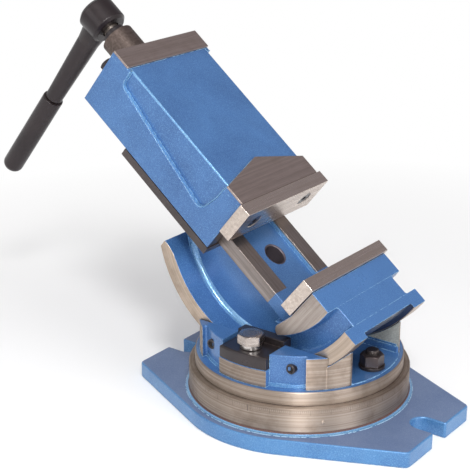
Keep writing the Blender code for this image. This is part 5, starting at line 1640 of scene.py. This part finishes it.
@dataclass
class Bed:
    """The drum with its ring and web, the slideway, and the fixed jaw with its pads."""

    radius: float = 0.1196
    relief: float = 0.1146
    rim: Pair = (0.040, 0.060)
    groove: Pair = (0.0835, 0.1048)
    block_y: float = 0.045
    web_y: float = 0.0314
    web_end: float = -45.0
    web_right: float = -28.0
    web_shoulder: Pair = (0.070, -0.050)
    web_foot: float = 0.050
    flare: float = 0.0085
    flare_turn: float = 16.0
    hollow_y: float = 0.0218
    hollow_x: float = -0.052
    pad_y: float = 0.060
    end_x: float = -0.0735
    jaw_top: float = 0.008
    jaw_x: float = 0.0615
    jaw_break: float = -0.027
    toe: Pair = (0.0563, -0.052)
    heel: tuple = ((0.0510, -0.0575), (0.0644, -0.0575))
    rail_y: Pair = (0.0244, 0.042)
    rail_z: Pair = (-0.053, -0.0386)
    rail_cut: float = 0.034
    floor_z: float = -0.0439
    floor_low: float = -0.0740
    neck_y: float = 0.031
    neck_low: float = -0.062
    beam_z: Pair = (-0.075, -0.060)
    rear_x: float = -0.165
    hole: Pair = (-0.001, 0.010)
    ring_section: tuple = (0.0006, 0.0011, 0.0008, 0.0014)
    web_fillet: float = 0.0050
    jaw_fillet: float = 0.0034
    pad_fillet: float = 0.0030
    floor_fillet: float = 0.0036
    pad_heel: Triple = (0.0644, -0.046, 0.007)
    plate_half: float = 0.0625
    plate_z: Pair = (-0.0258, 0.0118)
    plate_thick: float = 0.0126
    plate_screw: Pair = (0.039, -0.0064)
    plate_key: float = 0.005
    plate_hole: tuple = ((0.0084, 0.0), (0.0081, 0.0002), (0.0054, 0.0030), (0.0050, 0.0080))
    screw_skirt: tuple = ((0.0048, 0.0076), (0.0050, 0.0034), (0.0077, 0.0007), (0.0074, 0.0004))
    screw_socket: tuple = ((0.0034, 0.0004), (0.0029, 0.0007), (0.0029, 0.0034), (0.0012, 0.0036))

    def build(self) -> None:
        """Makes the casting's parts and the plate on the fixed jaw."""
        finishes = [BLUE, TURNED_DRUM, BLUE_SMOOTH, SHADED]
        piece("drum_ring", self.ring(), BED_AXES, finishes, Body.BED, ["vise_body"])
        piece("bed_web", self.web(), BED_AXES, [BLUE, FILLET_HIGHLIGHT], Body.BED)
        piece("fixed_jaw", self.block(), BED_AXES, [BLUE, BLUE_SMOOTH], Body.BED)
        piece("fixed_jaw_pad", self.pad(), BED_AXES, [BLUE, BLUE_SMOOTH, PAD_IRON], Body.BED)
        self.slideway()
        self.plate("fixed", BED_AXES, self.jaw_x - GAP - self.plate_thick, Body.BED, -1)

    def ring(self) -> Shell:
        """The drum's ring: one section with both rims, carried round the tilt axis.

        A point (y, r) of the section goes from the angle -acos(end / r) to asin(top / r),
        so the ring ends in the plane of the end face and in that of the jaw's top. Within
        flare_turn of the end face the rims' inner radius grows by flare (1 - s)^2.

        Returns:
            The ring.
        """
        (step, side), low, high = self.rim, self.groove[1], self.radius
        half = [(step, self.relief), (step, high), (side, high), (side, low)]
        corners = [(-y, r) for y, r in half[::-1]] + half
        section = eased(corners, self.ring_section + self.ring_section[::-1], 4)
        y, r = section.T
        share = np.linspace(0, 1, 181)[:, None] ** 1.15
        turn = math.acos(self.end_x / high) + math.asin(self.jaw_top / high)
        late = np.clip(share * turn / math.radians(self.flare_turn), 0, 1)
        r = r + (r < low + 0.002) * (abs(y) > step) * self.flare * (1 - late) ** 2
        first, last = -np.arccos(self.end_x / r), np.arcsin(self.jaw_top / r)
        angle = first + (last - first) * share
        ring = skin(np.stack([r * np.cos(angle), np.broadcast_to(y, angle.shape), r * np.sin(angle)], -1))
        under, top = self.relief - 0.0004, self.jaw_top
        ring.dressed(3, lambda c, n: (off_axis(c, 1) > under) & (abs(c[:, 1]) < step + 0.0002))
        ring.dressed(1, lambda c, n: (abs(n[:, 1]) > 0.6) & (abs(c[:, 1]) > side - 0.0008))
        ring.dressed(1, lambda c, n: off_axis(c, 1) > high - 0.0008)
        return ring.dressed(2, lambda c, n: (n[:, 2] > FACING) & (abs(c[:, 2] - top) < 0.0005))

    def fillet(self, radius: float, y: float, span: Pair, size: float, inward: float) -> Shell:
        """The fillets, one on each side, along an arc round the tilt axis.

        Args:
            radius: Radius of the corner.
            y: Half the distance between the two corners.
            span: Its first and last angle in degrees.
            size: Radius of the fillet.
            inward: -1 where the wall across the axis lies inside the arc, 1 outside.

        Returns:
            Both fillets.
        """
        path = arc(radius, *span, 72)
        line = np.stack([path[:, 0], np.full(len(path), y), path[:, 1]], 1)
        return cove(line, ACROSS, size, inward, 6).both(1)

    def web(self) -> Shell:
        """The web's two plates with the wall between their left ends, filleted into the ring.

        Each is an arc just inside the ring, closed by straight lines under the slideway.

        Returns:
            The web.
        """
        inner = self.groove[1]
        r, top = inner + 0.0042, self.rail_z[0] + 0.0005
        left = self.end_x + 0.0002
        curve = arc(r, -turn_at(left, r), self.web_right, 90)
        outline = np.concatenate([curve, [self.web_shoulder, (self.web_foot, top), (left, top)]])
        plate = prism(outline, (self.hollow_y, self.web_y), Plane.XZ)
        wall_left, wall_right = left + 0.0003, self.hollow_x
        curve = arc(r, -turn_at(wall_left, r), -turn_at(wall_right, r), 12)
        side = np.concatenate([curve, [(wall_right, self.neck_low), (wall_left, self.neck_low)]])
        wall = prism(side, (-self.hollow_y - 0.0004, self.hollow_y + 0.0004), Plane.XZ)
        span = (-turn_at(left, inner), self.web_end + 2.0)
        # The fillets take the painted highlight
        fillets = self.fillet(inner, self.web_y, span, self.web_fillet, -1.0).dressed(1)
        return plate.both(1) + wall + fillets

    def block(self) -> Shell:
        """The fixed jaw between the grooves: an arc just inside the ring, closed by its face, toe and heel.

        Returns:
            The jaw with its fillets.
        """
        inner, top = self.groove[1], self.jaw_top - 0.0001
        r = inner + 0.0022
        face = [(self.jaw_x, top), (self.jaw_x, self.jaw_break), self.toe, *self.heel]
        outline = np.concatenate([arc(r, self.web_end, rise_at(top, r), 50), face])
        block = prism(outline, (-self.block_y, self.block_y), Plane.XZ, 0.0010, 0.0010)
        block.dressed(1, lambda c, n: n[:, 2] > FACING)
        span = (self.web_end, rise_at(top, inner) - 0.3)
        return block + self.fillet(inner, self.block_y, span, self.jaw_fillet, -1.0)

    def pad(self) -> Shell:
        """The machined pad beside the fixed jaw: jaw face, a rounded heel and the groove's inner arc.

        Returns:
            The pad with its fillets.
        """
        inner, (heel_x, heel_z, heel_r) = self.groove[0], self.pad_heel
        first, last = rise_at(heel_z - heel_r, inner), rise_at(self.jaw_top, inner)
        curve, corner = arc(inner, first, last, 40), arc(heel_r, 180, 270, 8, (heel_x, heel_z))
        top = self.jaw_top - 0.00005
        curve[-1, 1] = top
        outline = np.concatenate([[(self.jaw_x, top), (self.jaw_x, self.jaw_break)], corner, curve[1:]])
        pad = prism(outline, (-self.pad_y, self.pad_y), Plane.XZ, 0.0007, 0.0007)
        front = self.jaw_x + 0.001
        pad.dressed(1, lambda c, n: n[:, 2] > FACING)
        pad.dressed(2, lambda c, n: (abs(n[:, 1]) > FACING) | ((n[:, 0] < -FACING) & (c[:, 0] < front)))
        return pad + self.fillet(inner, self.block_y, (first + 1.0, last - 0.3), self.pad_fillet, 1.0)

    def slideway(self) -> None:
        """The beam, its two rails, the floor between them and the round hole in it."""
        front, inner, lower = self.jaw_x + 0.004, self.rail_y[0], self.rail_z[0]
        x = np.union1d(np.linspace(self.rear_x, front, 12), [self.rail_cut])
        beam = bar(x, (-self.neck_y, self.neck_y), self.beam_z, 0.002, 0.0015)
        rails = bar(x, self.rail_y, self.rail_z, 0.0006, 0.0006).both(1)
        necks = bar(x, (inner - 0.001, self.neck_y), (self.neck_low, lower + 0.002), 0.0006, 0.0006).both(1)
        half, (hole_x, hole_r) = inner + 0.001, self.hole
        back, ahead = self.rear_x + 0.0004, front - 0.0004
        corners = np.array([(back, -half), (ahead, -half), (ahead, half), (back, half)])
        outline = walked(corners, [40, 40, 8, 8])
        floor = prism(outline, (self.floor_low, self.floor_z))
        floor = floor.without([len(floor.faces) - 1])
        rows = [(hole_r + 0.0016, 0.0), (hole_r + 0.0008, 0.0002), (hole_r, 0.0010), (hole_r, 0.0160)]
        loop, top = range(len(outline), 2 * len(outline)), level(self.floor_z)
        # The hole's wall and floor take finish 2, painted shade
        floor = bored(floor, loop, (0, 1), (hole_x, 0.0), top, rows, (0, 2), 1.0, 8)
        count = len(x) - 2
        path = np.stack([x[1:-1], np.full(count, inner), np.full(count, self.floor_z)], 1)
        # The coves along the rails take the painted highlight
        coves = cove(path, UP, self.floor_fillet).dressed(3).both(1)
        rails.dressed(1, lambda c, n: c[:, 0] < self.rail_cut)
        whole = beam + rails + necks + floor + coves
        piece("slideway_casting", whole, BED_AXES, [BLUE, PLANED_RAIL, BORED_IN_SHADE, FILLET_HIGHLIGHT], Body.BED)

    def plate(self, word: str, axes: Axes, low: float, body: Body, facing: int) -> None:
        """One ground jaw plate with eased edges, bored for its two countersunk socket screws.

        The gripping side's cap is split along y = 0, and each half closes round its own hole.

        Args:
            word: "fixed" or "moving".
            axes: The axes of the plate.
            low: Its lowest x.
            body: The body that carries it.
            facing: The way in which the gripping face looks along x, 1 or -1.
        """
        half, (under, over), (spot_y, spot_z) = self.plate_half, self.plate_z, self.plate_screw
        corners = [(-half, under), (half, under), (half, over), (-half, over)]
        outline = walked(eased(corners, 0.0007, 3), [16, 16, 8, 8])
        plate = prism(outline, (low, low + self.plate_thick), Plane.YZ, 0.0005, 0.0005)
        count = len(outline)
        first = 0 if facing < 0 else len(plate.points) - count
        plate = plate.without([len(plate.faces) - (2 if facing < 0 else 1)])
        end = plate.points[first : first + count]
        middles = np.flatnonzero(abs(end[:, 1]) < 1e-6)
        bottom, top = sorted(middles, key=lambda i: end[i, 2])
        share = np.linspace(0, 1, 9)[1:-1, None]
        spine = list(range(len(plate.points), len(plate.points) + len(share)))
        plate.points = np.concatenate([plate.points, end[bottom] * (1 - share) + end[top] * share])
        right = [first + (bottom + i) % count for i in range((top - bottom) % count + 1)]
        left = [first + (top + i) % count for i in range((bottom - top) % count + 1)]
        face = low if facing < 0 else low + self.plate_thick
        for loop, side in ((right + spine[::-1], 1), (left + spine, -1)):
            spot = (side * spot_y, spot_z)
            plate = bored(plate, loop, (1, 2), spot, level(face), self.plate_hole, outer=float(facing))
        rows = [(r, face - facing * depth) for r, depth in self.screw_skirt + self.screw_socket]
        socket = flats(self.plate_key, slice(len(self.screw_skirt) + 1, None))
        screws = [lathe(rows, 0, (side * spot_y, spot_z), 48, limit=socket) for side in (-1, 1)]
        piece(f"{word}_jaw_plate", plate, axes, [GROUND], body, [f"{word}_plate"])
        names = [f"{word}_plate_screw_{side}" for side in ("near", "far")]
        piece(f"{word}_jaw_screws", screws[0] + screws[1], axes, [BLACK], body, names)


@dataclass
class SlidingJaw:
    """The long casting that carries the moving plate, with its pockets, pads and boss."""

    half: float = 0.0585
    pocket_half: float = 0.055
    rear: float = -0.1988
    front: float = -0.0129
    top: float = 0.0112
    painted: float = 0.0092
    bottom: float = -0.053
    rail_y: float = 0.0423
    rail_top: float = -0.0383
    tunnel_y: float = 0.0244
    tunnel_top: float = -0.002
    tunnel: Pair = (-0.1868, -0.0248)
    strip: float = -0.1775
    pad_edge: float = -0.0338
    pad_point: float = -0.0508
    pocket_z: Pair = (-0.0084, -0.0312)
    pocket_x: tuple = (-0.1738, -0.0406, -0.0353, -0.0343)
    pocket_break: float = -0.0078
    pocket_fillet: float = 0.0032
    boss_radius: float = 0.0165
    boss_flare: float = 0.008
    boss_bore: float = 0.0083
    boss_end: float = -0.2348
    bolt: Pair = (0.047, -0.014)
    bolt_across: float = 0.013
    bolt_head: float = 0.0056
    bolt_radius: float = 0.004

    def pocket(self) -> Array:
        """The pocket's sides from its rear top down, along and up to its front top, rounded.

        Returns:
            The line as rows of x and z.
        """
        top, (left, right, bend, end), (rear_z, front_z) = self.painted, self.pocket_x, self.pocket_z
        corners = [(left, top), (left, rear_z), (right, front_z), (bend, self.pocket_break), (end, top)]
        return eased(corners, [0.0, 0.008, 0.008, 0.004, 0.0], 8)

    def build(self) -> None:
        """Makes the casting with its pockets, machined pads and boss, and the bolts behind."""
        half, t, low, top = self.pocket_half, self.tunnel_y, self.bottom, self.painted
        rail_y, rail_z, roof = self.rail_y, self.rail_top, self.tunnel_top
        right = [(t, roof), (t, rail_z), (rail_y, rail_z), (rail_y, low), (half, low), (half, top)]
        left = [(-y, z) for y, z in right[::-1]]
        radii = [0.0, 0.0005, 0.0, 0.0, 0.002, 0.002, 0.0, 0.0, 0.0005, 0.0, 0.0022, 0.0022]
        outline = eased(left[1:] + right + left[:1], radii, 5)
        body = prism(outline, (self.rear, self.front), Plane.YZ, 0.0008, 0.0005)
        brow = top - 0.003
        # The rounded top edge takes the painted highlight
        body.dressed(4, lambda c, n: (n[:, 2] > 0.15) & (n[:, 2] < 0.98) & (c[:, 2] > brow))
        sides, heights = (-t - 0.001, t + 0.001), (rail_z, roof + 0.001)
        ends = [np.array([self.rear, self.tunnel[0]]), np.array([self.tunnel[1], self.front])]
        walls = [bar(x, sides, heights, 0.0003, 0.0003) for x in ends]
        path = self.pocket()
        below, above = [(self.rear, low), (self.front, low), (self.front, top)], [(self.rear, top)]
        side = np.concatenate([below, path[::-1], above])
        cheek = prism(side, (half - 0.001, self.half), Plane.XZ, 0.0, 0.0014, 5)
        line = np.stack([path[:, 0], np.full(len(path), half), path[:, 1]], 1)
        # The pocket's fillet takes the painted highlight
        cheek = cheek + cove(line, ACROSS, self.pocket_fillet).dressed(4)
        casting = body + walls[0] + walls[1] + cheek.both(1)
        front = self.front - 0.001
        casting.dressed(3, lambda c, n: (n[:, 0] > FACING) & (c[:, 0] > front))
        whole = casting + self.pads() + self.boss()
        finishes = [BLUE, MILLED_IRON, TURNED_BOSS, KEEPER_IRON, FILLET_HIGHLIGHT]
        piece("sliding_casting", whole, JAW_AXES, finishes, Body.JAW, ["moving_jaw"])
        self.rear_bolts()

    def pads(self) -> Shell:
        """The machined strip behind and the pointed pad in front, crisp at their edges.

        Returns:
            Both pads, each with a painted foot.
        """
        wide, rear, strip = self.half - 0.00005, self.rear, self.strip
        behind = eased([(rear, -wide), (strip, -wide), (strip, wide), (rear, wide)], 0.0008, 2)
        edge = [(self.pad_edge, wide), (self.pad_point, 0.0), (self.pad_edge, -wide)]
        corners = [(self.front, -wide), (self.front, wide)] + edge
        pads = []
        for outline in (behind, eased(corners, [0.0008, 0.0008, 0.0008, 0.002, 0.0008], 3)):
            pads.append(prism(outline, (self.painted - 0.0040, self.painted + 0.0001)))
            pads.append(prism(outline, (self.painted, self.top), high=0.0005).dressed(1))
        return pads[0] + pads[1] + pads[2] + pads[3]

    def boss(self) -> Shell:
        """The round boss behind, flared where it leaves the casting, with the screw's bore.

        The flare's radius is r + f (1 - sin a) at a distance of f (1 - cos a) from the casting.

        Returns:
            The boss.
        """
        r, f, bore, end = self.boss_radius, self.boss_flare, self.boss_bore, self.boss_end
        inside, foot = self.rear + 0.006, self.rear - 0.0002
        turns = np.linspace(0, math.pi / 2, 12)
        flare = [(r + f * (1 - math.sin(a)), foot - f * (1 - math.cos(a))) for a in turns]
        rim = [(r, end + 0.0008), (r - 0.0003, end + 0.0002), (r - 0.001, end), (bore, end), (bore, inside)]
        return lathe([(r + f, inside)] + flare + rim, 0, (0.0, SCREW_Z), 96, True).dressed(2)

    def rear_bolts(self) -> None:
        """The hexagon bolts in the casting's rear face."""
        rear, r = self.rear, self.bolt_radius
        for side, word in ((-1, "near"), (1, "far")):
            spot = (side * self.bolt[0], self.bolt[1])
            head = hexagon_head(self.bolt_across, (rear - GAP, rear - GAP - self.bolt_head), 0.001, 0, spot)
            bolt = head + lathe([(r, rear - 0.002), (r, rear + 0.010)], 0, spot, 24)
            piece(f"rear_screw_{word}", bolt, JAW_AXES, [BLACK], Body.JAW, [f"rear_bolt_{word}"])


@dataclass
class Spindle:
    """The screw, its collar, the crank's hub and rod, and the grip."""

    radius: float = 0.010
    pitch: float = 0.005
    groove: float = 0.0024
    tip: float = -0.0348
    tip_radius: float = 0.0076
    flange: Pair = (-0.1788, -0.1865)
    flange_radius: float = 0.014
    journal: float = 0.0079
    collar: Pair = (-0.2411, -0.2351)
    collar_bore: float = 0.0081
    collar_radius: float = 0.0115
    hub: Pair = (-0.2448, -0.2728)
    hub_radius: float = 0.0187
    well: float = 0.0085
    square: float = 0.0112
    rod: tuple = ((0.010, -0.006), (0.0134, -0.010), (0.0122, -0.0185), (0.0108, -0.030))
    rod_end: float = 0.0088
    rod_reach: float = 0.1126
    pin_radius: float = 0.0065
    pin_reach: float = 0.214
    grip_reach: float = 0.224
    grip_radius: float = 0.0107
    grip_round: float = 0.008

    def build(self) -> None:
        """Makes the screw, the collar, the crank and the grip."""
        (front, rear), tip, wide, r = self.flange, self.tip, self.flange_radius, self.tip_radius
        thread = threaded(self.radius, self.pitch, self.groove, (front, tip - 0.0015), 0)
        end = lathe([(r, tip - 0.002), (r, tip - 0.0004), (r - 0.0006, tip)], 0, steps=48)
        rim = rounded_profile([(0.006, front), (wide, front), (wide, rear), (0.006, rear)], 0.0005)
        journal = lathe([(self.journal, rear + 0.001), (self.journal, self.hub[0] - 0.0004)], 0, steps=48)
        half = self.square / 2
        section = eased([(-half, -half), (half, -half), (half, half), (-half, half)], 0.0006, 3)
        square = prism(section, (self.hub[1] + 0.0012, self.hub[0] + 0.0010), Plane.YZ, 0.0008)
        whole = thread + end + lathe(rim, 0, steps=64) + journal + square
        piece("threaded_screw", whole, SCREW_AXES, [THREAD], Body.SCREW, ["lead_screw"])
        (low, high), bore, wide = self.collar, self.collar_bore, self.collar_radius
        rim = [(wide - 0.0005, high), (wide, high - 0.0005), (wide, low + 0.0008), (wide - 0.0008, low)]
        collar = lathe([(bore, high)] + rim + [(bore, low)], 0, steps=64, ring=True)
        piece("thrust_collar", collar, SCREW_AXES, [BLACK], Body.SCREW, ["screw_collar"])
        self.crank()
        self.grip()

    def crank(self) -> None:
        """Makes the hub's barrel round the square, the tapered rod, and the pin under the grip, painted dark
        as the shade in the gap.
        """
        r, well, (front, rear), reach = self.hub_radius, self.well, self.hub, self.rod_reach
        floor, rim = well - 0.0015, well + 0.0006
        rows = [(floor, front - 0.0035), (well, front - 0.0035), (rim, front), (r - 0.0030, front)]
        rows += [(r, front - 0.0030), (r, rear + 0.0034), (r - 0.0034, rear)]
        rows += [(well, rear), (floor, rear + 0.003)]
        radii = [0.0, 0.0002, 0.0006, 0.0010, 0.0014, 0.0016, 0.0014, 0.0008, 0.0]
        hub = lathe(eased(rows, radii, 4), 0)
        middle = ((front + rear) / 2, 0.0)
        taper = rounded_profile([*self.rod, (self.rod_end, -reach), (0.006, -reach)], 0.0012, 5)
        pin = lathe([(self.pin_radius, -reach + 0.004), (self.pin_radius, -self.pin_reach)], 2, middle, 32)
        # The pin takes the near-black painted shade
        whole = hub + lathe(taper, 2, middle, 64) + pin.dressed(1)
        piece("crank_arm", whole, SCREW_AXES, [CRANK_BLACK, SHADE_BLACK], Body.SCREW, ["crank_handle"])

    def grip(self) -> None:
        """Makes the grip: a sleeve with an eased mouth, whose end is a round of radius grip_round."""
        g, q = self.grip_radius, self.grip_round
        top, end = -self.rod_reach - GAP * 2, -self.grip_reach
        middle = (sum(self.hub) / 2, 0.0)
        a = np.linspace(0, np.pi / 2 * 0.93, 10)
        round_end = np.stack([g - q + q * np.cos(a), end + q - q * np.sin(a)], 1)
        mouth = [(g - 0.0022, top), (g - 0.0010, top - 0.0001)]
        mouth += [(g - 0.0002, top - 0.0007), (g, top - 0.0016)]
        sleeve = lathe(np.concatenate([mouth, round_end]), 2, middle, 64)
        piece("grip_sleeve", sleeve, SCREW_AXES, [CRANK_BLACK], Body.SCREW, ["crank_grip"])


@dataclass
class Studio:
    """A pale floor, soft lamps and the camera."""

    position: Triple = (0.6153, -0.9139, 0.5666)
    forward: Triple = (-0.5630, 0.7462, -0.3552)
    right: Triple = (0.7989, 0.6014, -0.0028)
    upward: Triple = (-0.2116, 0.2854, 0.9348)
    focal: float = 98.94
    shift: Pair = (-0.0016, 0.0341)

    def build(self) -> None:
        """Sets the camera, the floor, the sky and the lamps."""
        data = bpy.data.cameras.new("camera")
        data.lens, data.sensor_width = self.focal, 36.0
        data.shift_x, data.shift_y = self.shift
        data.clip_start, data.clip_end = 0.01, 100.0
        camera = bpy.data.objects.new("camera", data)
        columns = (self.right, self.upward, tuple(-v for v in self.forward))
        rows = [[columns[j][i] for j in range(3)] + [self.position[i]] for i in range(3)] + [[0, 0, 0, 1]]
        camera.matrix_world = Matrix(rows)
        bpy.context.scene.collection.objects.link(camera)
        bpy.context.scene.camera = camera
        bpy.context.scene.view_settings.view_transform = "Standard"
        self.floor()
        self.sky()
        self.lamp("key_lamp", (0.95, -1.10, 1.75), (0.0, 0.0, 0.12), (0.45, 0.45), 25.0)
        self.lamp("front_lamp", (-0.75, -1.60, 0.90), (0.0, 0.0, 0.12), (1.2, 0.8), 3.5)
        self.lamp("camera_lamp", (0.70, -1.04, 0.62), (0.0, 0.0, 0.10), (0.12, 0.12), 4.2)
        self.lamp("side_lamp", (1.9, -0.25, 0.80), (0.0, 0.0, 0.12), (0.8, 0.8), 12.0)

    def floor(self) -> None:
        """A wide pale sheet just under the base, a level grid that glows white away from the object."""
        span = np.linspace(-9.0, 9.0, 13)
        x, y = np.meshgrid(span, span)
        points = np.stack([x, y, np.full_like(x, -0.0002)], -1).reshape(-1, 3)
        index = np.arange(x.size).reshape(x.shape)
        quads = np.stack([index[:-1, :-1], index[:-1, 1:], index[1:, 1:], index[1:, :-1]], -1).reshape(-1, 4)
        mesh = bpy.data.meshes.new("floor")
        mesh.from_pydata(points, [], quads.tolist())
        material = bpy.data.materials.new("pale_floor")
        material.use_nodes = True
        w = Wiring(material.node_tree)
        shader = material.node_tree.nodes["Principled BSDF"]
        place = w.add("TexCoord").outputs["Object"]
        cloud = w.noise(place, 3.0)
        away = w.add("VectorMath", {0: place}, operation="LENGTH").outputs["Value"]
        path = w.add("LightPath").outputs
        seen = w.maths("MAXIMUM", path["Is Camera Ray"], path["Is Glossy Ray"])
        seen = w.maths("MAXIMUM", seen, path["Is Transmission Ray"])
        share = w.maths("MULTIPLY", seen, w.spread(away, 0.34, 0.80))
        white = w.add("Emission", {"Color": (1, 1, 1, 1), "Strength": 1.0})
        sheet = w.add("MixShader", {0: share, 1: shader.outputs[0], 2: white.outputs[0]})
        w.join(sheet.outputs[0], material.node_tree.nodes["Material Output"], "Surface")
        w.join(w.mix(cloud, (0.955, 0.955, 0.955, 1), (0.97, 0.97, 0.97, 1)), shader, "Base Color")
        shader.inputs["Roughness"].default_value = 0.9
        shader.inputs["Specular IOR Level"].default_value = 0.0
        mesh.materials.append(material)
        item = bpy.data.objects.new("floor", mesh)
        bpy.context.scene.collection.objects.link(item)

    def sky(self) -> None:
        """A soft dome with a darker patch high up on the far side, as of a room behind the softboxes."""
        world = bpy.data.worlds.new("soft_dome")
        world.use_nodes = True
        world.node_tree.nodes.clear()
        w = Wiring(world.node_tree)
        direction = w.add("TexCoord").outputs["Generated"]
        middle = (0.23, 0.75, 0.62)
        near = w.add("VectorMath", {0: direction, 1: middle}, operation="DOT_PRODUCT").outputs["Value"]
        height = w.add("SeparateXYZ", {0: direction}).outputs[2]
        dome = w.mix(w.spread(height, 0.0, 0.75), (0.72, 0.72, 0.72, 1), (1.0, 1.0, 1.0, 1))
        colour = w.mix(w.spread(near, 0.60, 0.93), dome, (0.46, 0.425, 0.46, 1))
        sky = w.add("Background", {"Color": colour, "Strength": 0.66})
        w.add("OutputWorld", {"Surface": sky.outputs[0]})
        bpy.context.scene.world = world

    def lamp(self, name: str, place: Triple, target: Triple, size: Pair, power: float) -> None:
        """A soft area lamp that looks at a point.

        Args:
            name: Its name.
            place: Where it stands.
            target: What it looks at.
            size: Its width and height.
            power: Its power in watts.
        """
        data = bpy.data.lights.new(name, "AREA")
        data.shape, data.size, data.size_y, data.energy = "RECTANGLE", size[0], size[1], power
        item = bpy.data.objects.new(name, data)
        item.location = place
        aim = np.array(target) - np.array(place)
        item.rotation_euler = (
            math.atan2(math.hypot(aim[0], aim[1]), -aim[2]), 0.0, math.atan2(aim[1], aim[0]) - math.pi / 2,
        )
        bpy.context.scene.collection.objects.link(item)


def main() -> None:
    """Builds every sub-assembly and the studio, and gives the kept CAD nodes their finishes."""
    logging.basicConfig(level=logging.INFO, format="%(message)s")
    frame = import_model()
    nodes = frame["nodes"]
    SwivelBase().build()
    Saddle().build()
    Clamps().build()
    SaddleScrews().build()
    bed = Bed()
    bed.build()
    SlidingJaw().build()
    bed.plate("moving", JAW_AXES, -bed.plate_thick, Body.JAW, 1)
    Spindle().build()
    sides = ("near", "far")
    redress(nodes, [f"keeper_strip_{side}" for side in sides], KEEPER_IRON, BED_AXES)
    keeper_screws = [f"keeper_screw_{side}_{end}" for side in sides for end in ("front", "rear")]
    redress(nodes, keeper_screws, BLACK, BED_AXES)
    redress(nodes, ["lead_nut"], BRONZE, BED_AXES)
    redress(nodes, ["lead_nut_screw_front", "lead_nut_screw_rear"], BLACK, BED_AXES)
    Studio().build()


if __name__ == "__main__":
    main()
